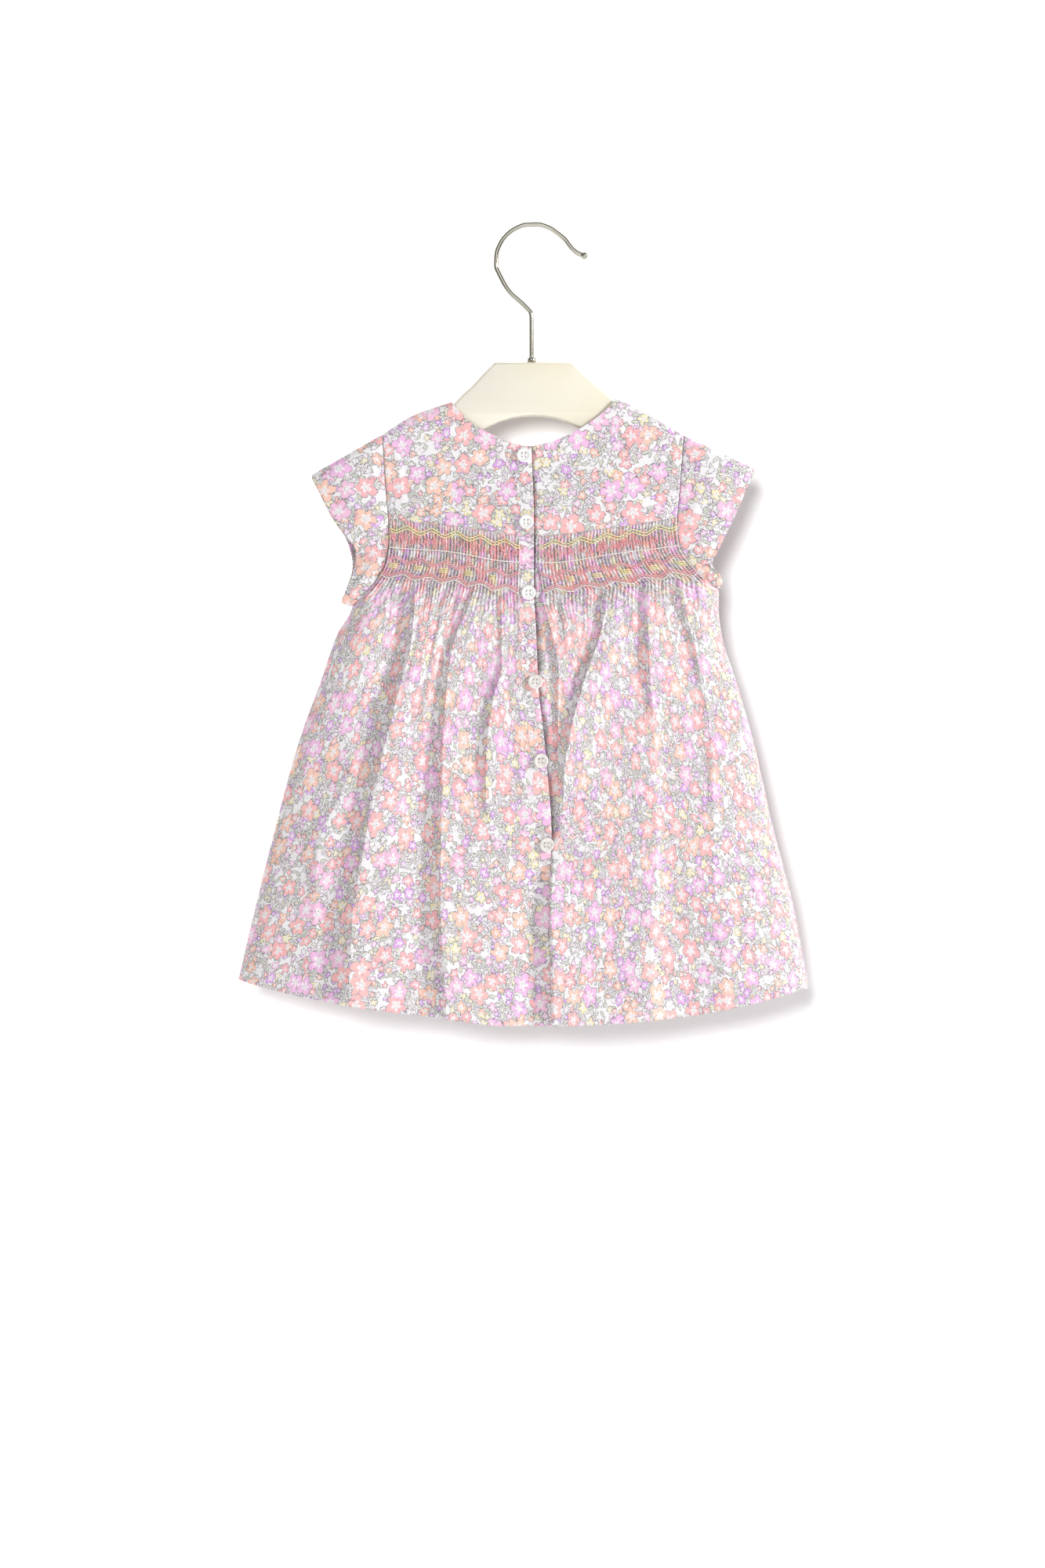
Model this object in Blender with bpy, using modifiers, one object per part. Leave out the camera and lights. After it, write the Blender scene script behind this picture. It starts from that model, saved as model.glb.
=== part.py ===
"""A baby's smocked dress, buttoned down its back, hanging on a small moulded hanger.

The origin is where the hook rests on its rail. Z is up, X runs across the shoulders and -Y faces the
viewer, who sees the dress's back. The tables are in millimetres; the meshes are in metres.
"""

import math

import bmesh
import bpy
import numpy as np

MM = 0.001

# Cloth
WALL = 1.2  # yokes and sleeves
SKIRT_WALL = 1.8  # measured front to back, so that a steep fold keeps over 1 mm
SEAM = 0.3  # between two sewn pieces
LAP_STEP = SKIRT_WALL + SEAM  # how far the under panel lies below the over panel
UNDERLAP = 15.0  # how far the under panel runs beneath the over panel
PLEAT = 1.6  # height of a smocking pleat over the plain wall
SEAM_PLEAT = 0.55  # share of that height where the pleats enter the yoke seam
PLEATS = 43  # in half of the skirt's width
PLAIN_PLACKET = 0.09  # share of a half panel beside the opening that has no pleats
PLAIN_UNDERLAP = 0.16  # the same for the under panel, which runs beneath the placket
PLAIN_STEP = 0.1  # a column of its own, where the over panel's edge lies
LOOP_POWER = 2.6  # how square the skirt's cross section is
LAP_CALM_LEFT = 25.0  # the cloth has no folds from here left of the opening's edge
LAP_CALM_RIGHT = 8.0  # to here right of it
LAP_CALM_EASE = 5.0
LAP_REACH = 26.0  # the under panel comes up to its own level this far right of the edge
LAP_EASE = 16.0
LAP_RISE = 12.0  # and over this height below the opening's end
SHOULDER_HALF = 7.9  # half depth over the hanger's arm
SHOULDER_ROUND = 5.0  # how far below the shoulder line that depth is reached
WRAP_POWER = 2.2  # how square the cloth turns over the hanger's edge
YOKE_EASE_TOP = -146.0  # from here the yoke eases into the body's depth
YOKE_EASE = 40.0
SHOULDER_THICKER = 1.25  # the wall is measured upright on the slope of the shoulder
SLEEVE_SWELL = 1.4  # how far a sleeve rounds out halfway to its hem
SLEEVE_FLAT = 6.0  # half depth from which a sleeve swells fully

# How a fold dies out beside its steep face: a share of the face's width, and a length
CREST_SHARE = 0.55  # of the fold's depth stands above the plain body
CREST_RUN = (2.2, 9.0)
VALLEY_RUN = (1.2, 5.0)
RUN_POWER = 1.4
FOLDS_START = 9.0  # they grow over this length below the smocking
SIDE_CALM_POWER = 14  # and die out close to the side seams

# Hanger
WIRE = 3.2
HOOK_RADIUS = 23.8
BALL = 4.6
BODY_THICK = 12.0
BODY_BEVEL = 2.0
BODY_TOP = -86.9
ARM_REACH = 127.0
ARM_HEIGHT = 18.5
ARM_TIP_ROUND = 7.0
ARM_TIP_IN = 5.0  # the slope ends this far from the tip
ARM_TIP_DROP = 9.5
ARM_INSIDE = (112.0, 62.0)  # where the arm's lower edge runs straight
ARCH_TOP = -121.0
ARCH_RADIUS = 61.0
ARCH_TURN = 40.0
EDGE_INSET = 0.5  # the hanger's shoulder corner lies this far inside the neckline's end
COLLAR_HEIGHT = 3.2
COLLAR_RADIUS = 2.9

# Buttons
BUTTON = 9.4
BUTTON_THICK = 2.2
BUTTON_MIDDLE = 0.62  # of the thickness, where the dished middle lies
BUTTON_RIM = (0.62, 0.74, 0.90)  # radii of the dish, the rim's inner edge and its outer edge
BUTTON_FOOT = 0.8
BUTTON_HOLE = 1.3
HOLE_SPREAD = 1.25
BUTTON_SIDES = 14

# The shoulder line, out from the neckline's end: x, then z on the left and on the right
SHOULDER = (
    (52.5, -112.0, -110.0),
    (60.0, -114.5, -113.0),
    (70.0, -117.8, -118.5),
    (80.0, -122.2, -123.8),
    (96.0, -132.6, -133.4),
    (115.0, -144.3, -142.6),
    (125.0, -149.5, -146.8),
    (141.3, -158.3, -154.3),
)

# The back neckline: x, z
BACK_NECK = (
    (-52.5, -112.0),
    (-47.5, -117.5),
    (-37.5, -127.0),
    (-25.0, -133.5),
    (-12.5, -138.8),
    (-2.0, -140.4),
    (5.0, -139.2),
    (16.0, -136.0),
    (30.0, -129.0),
    (42.5, -120.5),
    (48.5, -115.0),
    (52.5, -110.0),
)

# The front neckline, which dips below the back one: x, z
FRONT_NECK = (
    (-52.5, -112.0),
    (-48.5, -120.5),
    (-38.0, -134.0),
    (-22.0, -146.5),
    (0.0, -152.0),
    (22.0, -146.0),
    (38.0, -133.0),
    (48.5, -119.0),
    (52.5, -110.0),
)

# The seam between yoke and skirt, the lower edge of the smocking and the hem: x, z
YOKE_SEAM = ((-94.0, -187.0), (-50.0, -191.5), (0.0, -198.0), (50.0, -192.5), (94.0, -185.5))
SMOCKING_END = ((-94.0, -226.0), (-50.0, -228.5), (0.0, -233.0), (50.0, -228.0), (94.0, -223.5))
HEM = (
    (-190.0, -479.5),
    (-165.0, -486.5),
    (-115.0, -496.5),
    (-60.0, -503.5),
    (-20.0, -508.5),
    (20.0, -508.5),
    (85.0, -504.5),
    (130.0, -497.0),
    (177.0, -485.0),
)

# The armhole seams: z, x
LEFT_ARMHOLE = (
    (-132.6, -96.0),
    (-166.0, -94.0),
    (-197.0, -91.6),
    (-215.5, -94.0),
    (-222.0, -97.5),
    (-232.0, -104.5),
    (-243.0, -115.8),
)
RIGHT_ARMHOLE = (
    (-133.4, 96.0),
    (-166.0, 93.5),
    (-190.0, 91.8),
    (-204.0, 93.5),
    (-213.0, 98.5),
    (-222.0, 106.5),
    (-231.5, 117.8),
)

# The body's two sides and its half depth: z, left x, right x, depth
SIDES = (
    (-180.0, -119.5, 119.0, 10.6),
    (-243.0, -115.8, 118.3, 12.5),
    (-260.0, -125.0, 120.3, 14.0),
    (-290.0, -135.5, 129.6, 17.0),
    (-330.0, -150.0, 141.0, 20.5),
    (-385.0, -165.0, 153.5, 24.0),
    (-435.0, -177.5, 166.5, 26.5),
    (-490.0, -190.5, 176.5, 28.5),
)

# The over panel's edge down the back opening, then the seam below it: z, x
OPENING = (
    (-140.0, -0.9),
    (-192.0, 0.7),
    (-228.0, 0.6),
    (-257.0, 2.0),
    (-295.0, 3.6),
    (-320.0, 6.4),
    (-346.0, 9.0),
    (-388.0, 11.8),
    (-430.0, 9.9),
    (-500.0, 11.2),
)
OPENING_END = -398.0
OPENING_TAPER = 20.0

# Folds of the back. A fold's edge is its crest line, and its steep face falls away from there to the
# left (side 1) or to the right (side -1). Rows: z, x of the edge, width of the face, depth
BACK_FOLDS = {
    "side left": (1, (
        (-238.0, -109.0, 6.0, 3.0),
        (-255.5, -116.0, 8.0, 5.0),
        (-286.5, -128.5, 7.0, 4.0),
        (-330.0, -140.0, 5.0, 0.0),
    )),
    "deep left": (1, (
        (-228.0, -74.0, 2.5, 3.0),
        (-262.0, -76.5, 4.0, 6.0),
        (-305.0, -87.0, 7.5, 9.0),
        (-355.0, -99.0, 6.0, 8.0),
        (-405.0, -108.0, 7.0, 9.0),
        (-440.0, -113.5, 9.5, 10.0),
        (-500.0, -116.5, 10.5, 10.5),
    )),
    "soft left": (1, (
        (-315.0, -104.0, 10.0, 0.0),
        (-358.0, -120.0, 12.0, 3.5),
        (-397.0, -136.0, 12.0, 4.0),
        (-500.0, -142.0, 14.0, 3.5),
    )),
    "mid left": (1, (
        (-230.5, -37.5, 1.8, 2.0),
        (-275.5, -52.5, 3.5, 4.5),
        (-330.5, -57.0, 5.5, 7.0),
        (-420.5, -58.5, 6.5, 7.5),
        (-500.5, -55.0, 8.0, 8.0),
    )),
    "short left": (1, (
        (-228.0, -19.5, 1.8, 2.5),
        (-278.0, -19.5, 2.8, 3.5),
        (-300.5, -25.0, 4.5, 5.0),
        (-335.0, -29.5, 4.5, 5.0),
        (-362.0, -30.0, 4.0, 3.0),
        (-388.0, -27.0, 4.0, 0.0),
    )),
    "under the lap": (1, (
        (-240.5, 4.5, 2.0, 1.5),
        (-260.5, 11.5, 2.5, 3.0),
        (-285.0, 15.8, 3.8, 5.0),
        (-338.0, 15.5, 4.2, 5.5),
        (-370.0, 16.0, 4.0, 4.5),
        (-396.0, 16.0, 4.0, 0.0),
    )),
    "centre": (1, (
        (-399.0, 13.0, 4.0, 0.0),
        (-414.0, 12.0, 4.5, 6.0),
        (-430.0, 11.0, 5.0, 8.0),
        (-465.0, 12.2, 6.5, 8.5),
        (-505.0, 13.0, 7.0, 8.5),
    )),
    "slanting right": (1, (
        (-230.5, 47.5, 1.8, 2.0),
        (-254.5, 44.0, 2.8, 4.0),
        (-290.5, 32.0, 4.5, 6.5),
        (-323.0, 23.5, 5.0, 6.5),
        (-350.0, 19.5, 4.0, 4.0),
        (-378.0, 19.0, 4.0, 0.0),
    )),
    "upper right": (1, (
        (-228.0, 71.5, 2.2, 3.0),
        (-280.5, 73.5, 4.2, 5.0),
        (-300.5, 75.0, 4.0, 3.5),
        (-318.0, 76.0, 4.0, 0.0),
    )),
    "lower right": (-1, (
        (-296.0, 75.5, 3.0, 0.0),
        (-330.5, 77.0, 4.0, 4.5),
        (-415.5, 78.0, 5.5, 5.5),
        (-455.5, 75.5, 9.0, 6.5),
        (-505.0, 74.0, 11.0, 6.0),
    )),
    "side right": (1, (
        (-232.0, 93.0, 2.4, 3.0),
        (-256.0, 99.0, 3.0, 3.8),
        (-290.5, 106.5, 3.0, 2.5),
        (-318.0, 111.0, 4.0, 0.0),
    )),
    "soft right": (1, (
        (-300.0, 109.0, 8.0, 0.0),
        (-340.0, 114.0, 9.0, 3.0),
        (-400.0, 114.0, 10.0, 1.5),
        (-505.0, 124.0, 14.0, 3.0),
    )),
}

# Folds of the front, which the wearer shows and the picture hides
FRONT_FOLDS = {
    "first": (1, (
        (-228.0, -66.0, 2.4, 2.5),
        (-290.0, -82.0, 5.0, 6.0),
        (-380.0, -104.0, 7.0, 8.0),
        (-505.0, -128.0, 9.0, 8.5),
    )),
    "second": (-1, (
        (-229.0, -30.0, 2.2, 2.5),
        (-300.0, -36.0, 4.5, 6.0),
        (-400.0, -47.0, 7.0, 7.5),
        (-505.0, -52.0, 9.0, 7.5),
    )),
    "third": (1, (
        (-233.0, 4.0, 2.0, 2.0),
        (-300.0, 8.0, 4.0, 5.0),
        (-380.0, 14.0, 5.5, 5.5),
        (-430.0, 16.0, 6.0, 0.0),
    )),
    "fourth": (1, (
        (-229.0, 42.0, 2.2, 2.5),
        (-310.0, 52.0, 5.0, 6.5),
        (-410.0, 62.0, 7.5, 8.0),
        (-505.0, 66.0, 9.0, 8.5),
    )),
    "fifth": (-1, (
        (-227.0, 80.0, 2.2, 2.5),
        (-300.0, 98.0, 5.0, 5.5),
        (-400.0, 116.0, 7.0, 6.5),
        (-505.0, 132.0, 9.0, 6.5),
    )),
}

# Gathers that run out of the smocking: x at its edge, x where each ends, z where it ends, depth
BACK_GATHERS = (
    (-97.0, -102.0, -272.0, 1.2),
    (-89.5, -96.0, -292.0, 2.2),
    (-84.5, -93.0, -318.0, 2.6),
    (-66.0, -76.0, -272.0, 2.2),
    (-54.0, -70.0, -264.0, 1.8),
    (-47.5, -55.0, -272.0, 1.8),
    (-34.0, -34.0, -256.0, 1.4),
    (-27.0, -29.5, -252.0, 1.2),
    (-14.5, -14.5, -254.0, 1.4),
    (-7.5, -8.0, -270.0, 1.8),
    (16.5, 15.5, -282.0, 2.2),
    (24.0, 22.0, -252.0, 1.2),
    (32.5, 29.0, -292.0, 1.8),
    (41.0, 42.5, -254.0, 1.6),
    (55.0, 60.5, -292.0, 1.9),
    (65.0, 66.5, -252.0, 1.2),
    (81.0, 86.0, -256.0, 1.2),
    (87.0, 90.0, -266.0, 1.2),
)
FRONT_GATHER_COUNT = 21
FRONT_GATHER_SPACING = 7.8
FRONT_GATHER_FLARE = 1.12
FRONT_GATHER_END = -262.0
FRONT_GATHER_DEPTH = 1.6
GATHER_HALF_WIDTH = 1.9

# The sleeves' hems, round from the top corner: share of the half round, then x, y, z.
# The back rows come first, and the front ones run from the top corner down too.
LEFT_HEM_BACK = (
    (0.00, -141.3, 0.0, -158.3),
    (0.06, -141.0, -5.6, -160.6),
    (0.16, -137.0, -7.9, -168.5),
    (0.28, -130.5, -8.5, -181.5),
    (0.38, -124.5, -9.4, -191.5),
    (0.46, -116.5, -10.2, -201.0),
    (0.52, -112.8, -8.4, -207.0),
    (0.60, -113.2, -5.6, -213.5),
    (0.72, -116.3, -6.6, -224.0),
    (0.86, -120.3, -6.4, -234.5),
    (0.95, -122.0, -3.6, -239.0),
    (1.00, -121.8, 0.0, -240.4),
)
LEFT_HEM_FRONT = (
    (0.00, -141.3, 0.0, -158.3),
    (0.06, -141.0, 5.6, -160.6),
    (0.18, -136.0, 7.9, -170.5),
    (0.34, -127.0, 8.4, -187.0),
    (0.50, -117.8, 8.0, -203.0),
    (0.66, -115.4, 7.4, -216.0),
    (0.82, -118.8, 7.0, -229.5),
    (0.95, -122.4, 3.6, -238.8),
    (1.00, -121.8, 0.0, -240.4),
)
RIGHT_HEM_BACK = (
    (0.00, 141.3, 0.0, -154.3),
    (0.06, 141.0, -5.6, -156.8),
    (0.16, 137.0, -7.9, -165.0),
    (0.30, 130.8, -8.5, -180.0),
    (0.44, 124.0, -9.2, -194.0),
    (0.58, 117.0, -10.0, -208.5),
    (0.67, 113.6, -9.6, -216.2),
    (0.73, 115.0, -6.6, -218.8),
    (0.82, 119.0, -6.4, -222.8),
    (0.90, 120.6, -5.6, -226.4),
    (0.96, 120.0, -3.2, -229.0),
    (1.00, 118.9, 0.0, -230.4),
)
RIGHT_HEM_FRONT = (
    (0.00, 141.3, 0.0, -154.3),
    (0.06, 141.0, 5.6, -156.8),
    (0.20, 134.5, 7.9, -170.0),
    (0.40, 124.5, 8.4, -191.0),
    (0.60, 114.5, 8.2, -209.5),
    (0.78, 114.0, 7.4, -219.0),
    (0.92, 118.0, 4.8, -227.4),
    (1.00, 118.9, 0.0, -230.4),
)

# Button centres down the over panel: x, z
BUTTONS = (
    (-5.9, -146.2),
    (-4.4, -188.8),
    (-3.0, -233.9),
    (1.3, -290.5),
    (5.0, -340.8),
    (8.6, -394.0),
)

# The hanger's slopes between its flat top and the cloth: x, z
RIGHT_SLOPE = ((24.0, BODY_TOP), (32.0, -94.5), (40.0, -101.8), (46.0, -107.0))
LEFT_SLOPE = ((-45.0, -107.4), (-39.5, -102.6), (-32.0, -94.5), (-24.5, BODY_TOP))

# The hook's centre line, up from the hanger's body: x, z. The long arc between is worked out.
HOOK_STEM = ((-1.0, -86.2), (-1.0, -60.0), (-1.2, -56.0), (-5.0, -51.0), (-15.5, -41.0), (-21.0, -31.5))
HOOK_TIP = ((20.3, -8.2), (24.8, -14.0), (28.4, -16.9), (34.9, -19.2))
HOOK_CENTRE = (0.0, WIRE / 2 - HOOK_RADIUS)
HOOK_ARC = (186.0, 48.4)  # where the arc starts and ends, in degrees from +X
STRAIGHT_STEM = 26.0
BALL_TURNS = (132, 112, 90, 65, 40, 15)  # the rings of the ball, in degrees from its tip

# The rows of the skirt from the yoke seam (0) to the hem (1). Rows of the smocking have every pleat.
SMOCKED_ROWS = (0.0, 0.012, 0.085, 0.12)
SKIRT_ROWS = (0.147, 0.181, 0.225, 0.285, 0.36, 0.44, 0.52, 0.586, 0.641, 0.73, 0.86, 1.0)
YOKE_ROWS = (0.0, 0.012, 0.03, 0.065, 0.15, 0.4, 0.7, 1.0)
OVER_HANGER = (0.4, 0.9, 1.5, 2.4)  # more yoke columns this far inside the neckline's ends
SHOULDER_COLUMNS = 6
HALF_COLUMNS = 44
FRONT_COLUMNS = 72
INNER_SMOCKED_COLUMNS = 24
LINE_POINTS = 1201  # of the curve that each skirt row is cut from
SLEEVE_RINGS = (0.0, 0.12, 0.35, 0.6, 0.82, 1.0)


def smooth_value(places, values, at):
    """A smooth curve through the values, which never swings past them."""
    order = np.argsort(places)
    x = np.asarray(places, float)[order]
    y = np.asarray(values, float)[order]
    at = np.clip(at, x[0], x[-1])
    steps = np.diff(x)
    slopes = np.diff(y) / steps
    tangents = np.concatenate([slopes[:1], np.zeros(len(x) - 2), slopes[-1:]])
    before, after = slopes[:-1], slopes[1:]
    steady = before * after > 0
    total = np.where(steady, before + after, 1.0)
    tangents[1:-1] = np.where(steady, 2 * before * after / total, 0.0)
    i = np.clip(np.searchsorted(x, at, side="right") - 1, 0, len(steps) - 1)
    share = (at - x[i]) / steps[i]
    rest = 1 - share
    ends = y[i] * rest * rest * (1 + 2 * share) + y[i + 1] * share * share * (1 + 2 * rest)
    return ends + steps[i] * share * rest * (rest * tangents[i] - share * tangents[i + 1])


def column(table, at, number=1):
    """The value of a table's column at a place of its first column."""
    return smooth_value([row[0] for row in table], [row[number] for row in table], at)


def ease(share):
    share = np.clip(share, 0.0, 1.0)
    return share * share * (3 - 2 * share)


def shoulder_z(x):
    """The top of the cloth over the hanger, and of the hanger's own slope between the neck points."""
    x = np.asarray(x, float)
    side = np.where(x < 0, column(SHOULDER, np.abs(x), 1), column(SHOULDER, np.abs(x), 2))
    rise = np.clip(SHOULDER[0][0] - np.abs(x), 0.0, None)
    return side + rise


def loop_depth(x, z):
    """The half depth of the plain body at a place."""
    half_width = np.where(x < 0, -column(SIDES, z, 1), column(SIDES, z, 2))
    share = np.clip(np.abs(x) / half_width, 0.0, 1.0)
    return column(SIDES, z, 3) * (1 - share**LOOP_POWER) ** (1 / LOOP_POWER)


def shoulder_turn(x, z):
    """How far round the hanger's edge the cloth is: 0 on top, 1 where it hangs down."""
    return np.clip(shoulder_z(x) - z, 0.0, SHOULDER_ROUND) / SHOULDER_ROUND


def yoke_depth(x, z):
    """Over the shoulder the cloth is rounded by the hanger, and below it eases into the body."""
    wrapped = SHOULDER_HALF * (1 - (1 - shoulder_turn(x, z)) ** WRAP_POWER) ** (1 / WRAP_POWER)
    body = ease((YOKE_EASE_TOP - z) / YOKE_EASE)
    return wrapped * (1 - body) + loop_depth(x, z) * body + SEAM / 2


def fold_lift(folds, x, z):
    """How far the folds raise or sink the cloth: a steep face with a crest on one side."""
    lift = np.zeros(np.broadcast(x, z).shape)
    for side, rows in folds.values():
        edge, face, depth = (column(rows, z, number) for number in (1, 2, 3))
        beyond = (x - edge) * side
        crest_run = CREST_RUN[0] * face + CREST_RUN[1]
        valley_run = VALLEY_RUN[0] * face + VALLEY_RUN[1]
        steep = ease(beyond / face + 1) - (1 - CREST_SHARE)
        crest = CREST_SHARE * np.exp(-np.clip(beyond / crest_run, 0, None) ** RUN_POWER)
        below = np.exp(-np.clip(-(beyond + face) / valley_run, 0, None) ** RUN_POWER)
        valley = (CREST_SHARE - 1) * below
        lift = lift + depth * np.where(beyond > 0, crest, np.where(beyond < -face, valley, steep))
    return lift


def front_gathers():
    """Gathers of the front, spaced evenly and made uneven by a rule."""
    rows = []
    for number in range(FRONT_GATHER_COUNT):
        uneven = math.sin(number * 2.4) + math.sin(number * 5.1 + 1)
        top = (number - (FRONT_GATHER_COUNT - 1) / 2) * FRONT_GATHER_SPACING + uneven
        low = top * FRONT_GATHER_FLARE + uneven
        rows.append((top, low, FRONT_GATHER_END - 14 - 7 * uneven, FRONT_GATHER_DEPTH + 0.35 * uneven))
    return rows


def gather_lift(gathers, x, z):
    """The narrow troughs below the smocking."""
    lift = np.zeros(np.broadcast(x, z).shape)
    for top_x, low_x, low_z, depth in gathers:
        top_z = column(SMOCKING_END, top_x)
        share = np.clip((top_z - z) / (top_z - low_z), 0.0, 1.0)
        middle = top_x + (low_x - top_x) * share
        width = GATHER_HALF_WIDTH * (1 + share)
        lift = lift - depth * (1 - ease(share)) * np.exp(-(((x - middle) / width) ** 2))
    return lift


def skirt_lift(face, x, z):
    """Folds and gathers together, none in the smocking, at the side seams or where the panels lap."""
    folds, gathers = SKIRT_FORMS[face]
    free = ease((column(SMOCKING_END, x) + 2 - z) / FOLDS_START)
    half_width = np.where(x < 0, -column(SIDES, z, 1), column(SIDES, z, 2))
    free = free * (1 - np.clip(np.abs(x) / half_width, 0, 1) ** SIDE_CALM_POWER)
    if face == "back":
        beside = x - column(OPENING, z)
        left_part = ease((beside + LAP_CALM_LEFT) / LAP_CALM_EASE)
        right_part = ease((LAP_CALM_RIGHT - beside) / LAP_CALM_EASE)
        above_end = ease((z - OPENING_END) / LAP_CALM_EASE)
        free = free * (1 - left_part * right_part * above_end)
    return (fold_lift(folds, x, z) + gather_lift(gathers, x, z)) * free


SKIRT_FORMS = {"back": (BACK_FOLDS, BACK_GATHERS), "front": (FRONT_FOLDS, front_gathers())}


def armhole_x(side, z):
    return column(LEFT_ARMHOLE if side < 0 else RIGHT_ARMHOLE, z)


def skirt_line(share, facing):
    """One row of the whole back (facing -1) or front (1): base points and their outward directions."""
    turn = np.linspace(-1, 1, LINE_POINTS) * math.pi / 2
    across = np.sign(turn) * np.abs(np.sin(turn)) ** (2 / LOOP_POWER)
    x = across * SIDES[0][2]
    for _ in range(8):  # the width depends on the height, and the height on the width
        z = column(YOKE_SEAM, x) * (1 - share) + column(HEM, x) * share
        x = across * np.where(across < 0, -column(SIDES, z, 1), column(SIDES, z, 2))
    y = facing * (SEAM / 2 + column(SIDES, z, 3) * np.abs(np.cos(turn)) ** (2 / LOOP_POWER))
    along_x, along_y = np.gradient(x), np.gradient(y)
    length = np.hypot(along_x, along_y)
    outward = np.stack([-facing * along_y, facing * along_x], 1) / length[:, None]
    return np.stack([x, y, z], 1), outward


def cut_row(points, outward, start, end, places):
    """The part of a row between two of its places, read at even or given shares of its length."""
    steps = np.linalg.norm(np.diff(points, axis=0), axis=1)
    run = np.concatenate([[0], np.cumsum(steps)])
    index = np.arange(len(points))
    first, last = np.interp([start, end], index, run)
    at = first + (last - first) * np.asarray(places)
    read = [np.interp(at, run, values) for values in (*points.T, *outward.T)]
    return np.stack(read[:3], 1), np.stack(read[3:], 1)


def crossing(values):
    """The first place, with its fraction, where the values turn from below 0 to above."""
    found = np.nonzero((values[:-1] < 0) & (values[1:] >= 0))[0]
    if not len(found):
        return 0.0
    i = found[0]
    return i + values[i] / (values[i] - values[i + 1])


def row_ends(points, panel):
    """Where a panel's row starts and ends, from the left armhole or side to the right one."""
    x, z = points[:, 0], points[:, 2]
    inside_left = x - armhole_x(-1, z) - SEAM / 2
    left = crossing(inside_left) if z[0] > LEFT_ARMHOLE[-1][0] else 0.0
    inside_right = armhole_x(1, z) - SEAM / 2 - x
    if z[-1] > RIGHT_ARMHOLE[-1][0]:
        right = len(x) - 1 - crossing(inside_right[::-1])
    else:
        right = len(x) - 1.0
    edge = x - column(OPENING, z)
    if panel == "left":
        right = crossing(edge + SEAM / 2)
    if panel == "right":
        lap = UNDERLAP * ease((z - OPENING_END) / OPENING_TAPER)
        left = crossing(edge + lap - SEAM / 2)
    return left, right


def lap_drop(x, z):
    """How far the under panel is pushed in beneath the over panel, easing out beside it."""
    beside = ease((column(OPENING, z) + LAP_REACH - x) / LAP_EASE)
    return LAP_STEP * beside * ease((z - OPENING_END + LAP_RISE) / LAP_RISE)


def skirt_row(panel, share, places):
    """One row of a skirt panel: its base points, their outward directions and the folds' height."""
    facing = 1 if panel == "front" else -1
    points, outward = skirt_line(share, facing)
    start, end = row_ends(points, panel)
    points, outward = cut_row(points, outward, start, end, places)
    x, z = points[:, 0], points[:, 2]
    lift = skirt_lift("front" if panel == "front" else "back", x, z)
    if panel == "right":
        lift = lift - lap_drop(x, z)
    return points, outward, lift


def raised(points, outward, lift):
    """Points moved outwards, level, by their own heights."""
    moved = points.copy()
    moved[:, :2] += outward * np.broadcast_to(lift, len(points))[:, None]
    return moved


def pleat_places(panel):
    """Shares across a smocked row, at each pleat's foot and top, with the pleat's height at each."""
    count = 2 * PLEATS - 1 if panel == "front" else PLEATS
    start = {"front": 0.0, "left": PLAIN_PLACKET, "right": PLAIN_UNDERLAP}[panel]
    feet = np.linspace(start, 1, 2 * count + 1)
    tops = np.arange(2 * count + 1) % 2
    if panel == "left":
        return np.append(1 - feet[::-1], 1.0), np.append(tops, 0)
    if panel == "right":
        return np.insert(feet, 0, [0.0, PLAIN_STEP]), np.insert(tops, 0, [0, 0])
    return feet, tops


def strip(upper, lower):
    """Faces between two rows of (point, share across) pairs, whose counts may differ."""
    faces = []
    i = j = 0
    while i < len(upper) - 1 or j < len(lower) - 1:
        next_upper = upper[i + 1][1] if i < len(upper) - 1 else math.inf
        next_lower = lower[j + 1][1] if j < len(lower) - 1 else math.inf
        if abs(next_upper - next_lower) < 1e-6:
            faces.append((upper[i][0], lower[j][0], lower[j + 1][0], upper[i + 1][0]))
            i += 1
            j += 1
        elif next_upper < next_lower:
            faces.append((upper[i][0], lower[j][0], upper[i + 1][0]))
            i += 1
        else:
            faces.append((upper[i][0], lower[j][0], lower[j + 1][0]))
            j += 1
    return faces


def wall_object(name, outer, inner, material, group, ring=False):
    """One closed wall from its outer and inner rows, each a pair of points and their shares across."""
    points = []

    def numbered(rows):
        found = []
        for row_points, places in rows:
            start = len(points)
            points.extend(row_points)
            pairs = [(start + number, place) for number, place in enumerate(places)]
            found.append(pairs + [(start, 1.0)] if ring else pairs)
        return found

    outer, inner = numbered(outer), numbered(inner)
    faces = strip(outer[0], inner[0]) + strip(outer[-1], inner[-1])
    for rows in (outer, inner):
        for upper, lower in zip(rows, rows[1:]):
            faces += strip(upper, lower)
    for end in () if ring else (0, -1):
        for number in range(len(outer) - 1):
            here, below = outer[number][end][0], outer[number + 1][end][0]
            faces.append((here, below, inner[number + 1][end][0], inner[number][end][0]))
    mesh = bpy.data.meshes.new(name)
    mesh.from_pydata([tuple(float(value) * MM for value in point) for point in points], [], faces)
    work = bmesh.new()
    work.from_mesh(mesh)
    bmesh.ops.recalc_face_normals(work, faces=work.faces)
    work.to_mesh(mesh)
    work.free()
    mesh.materials.append(material)
    made = bpy.data.objects.new(name, mesh)
    group.objects.link(made)
    return made


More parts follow.
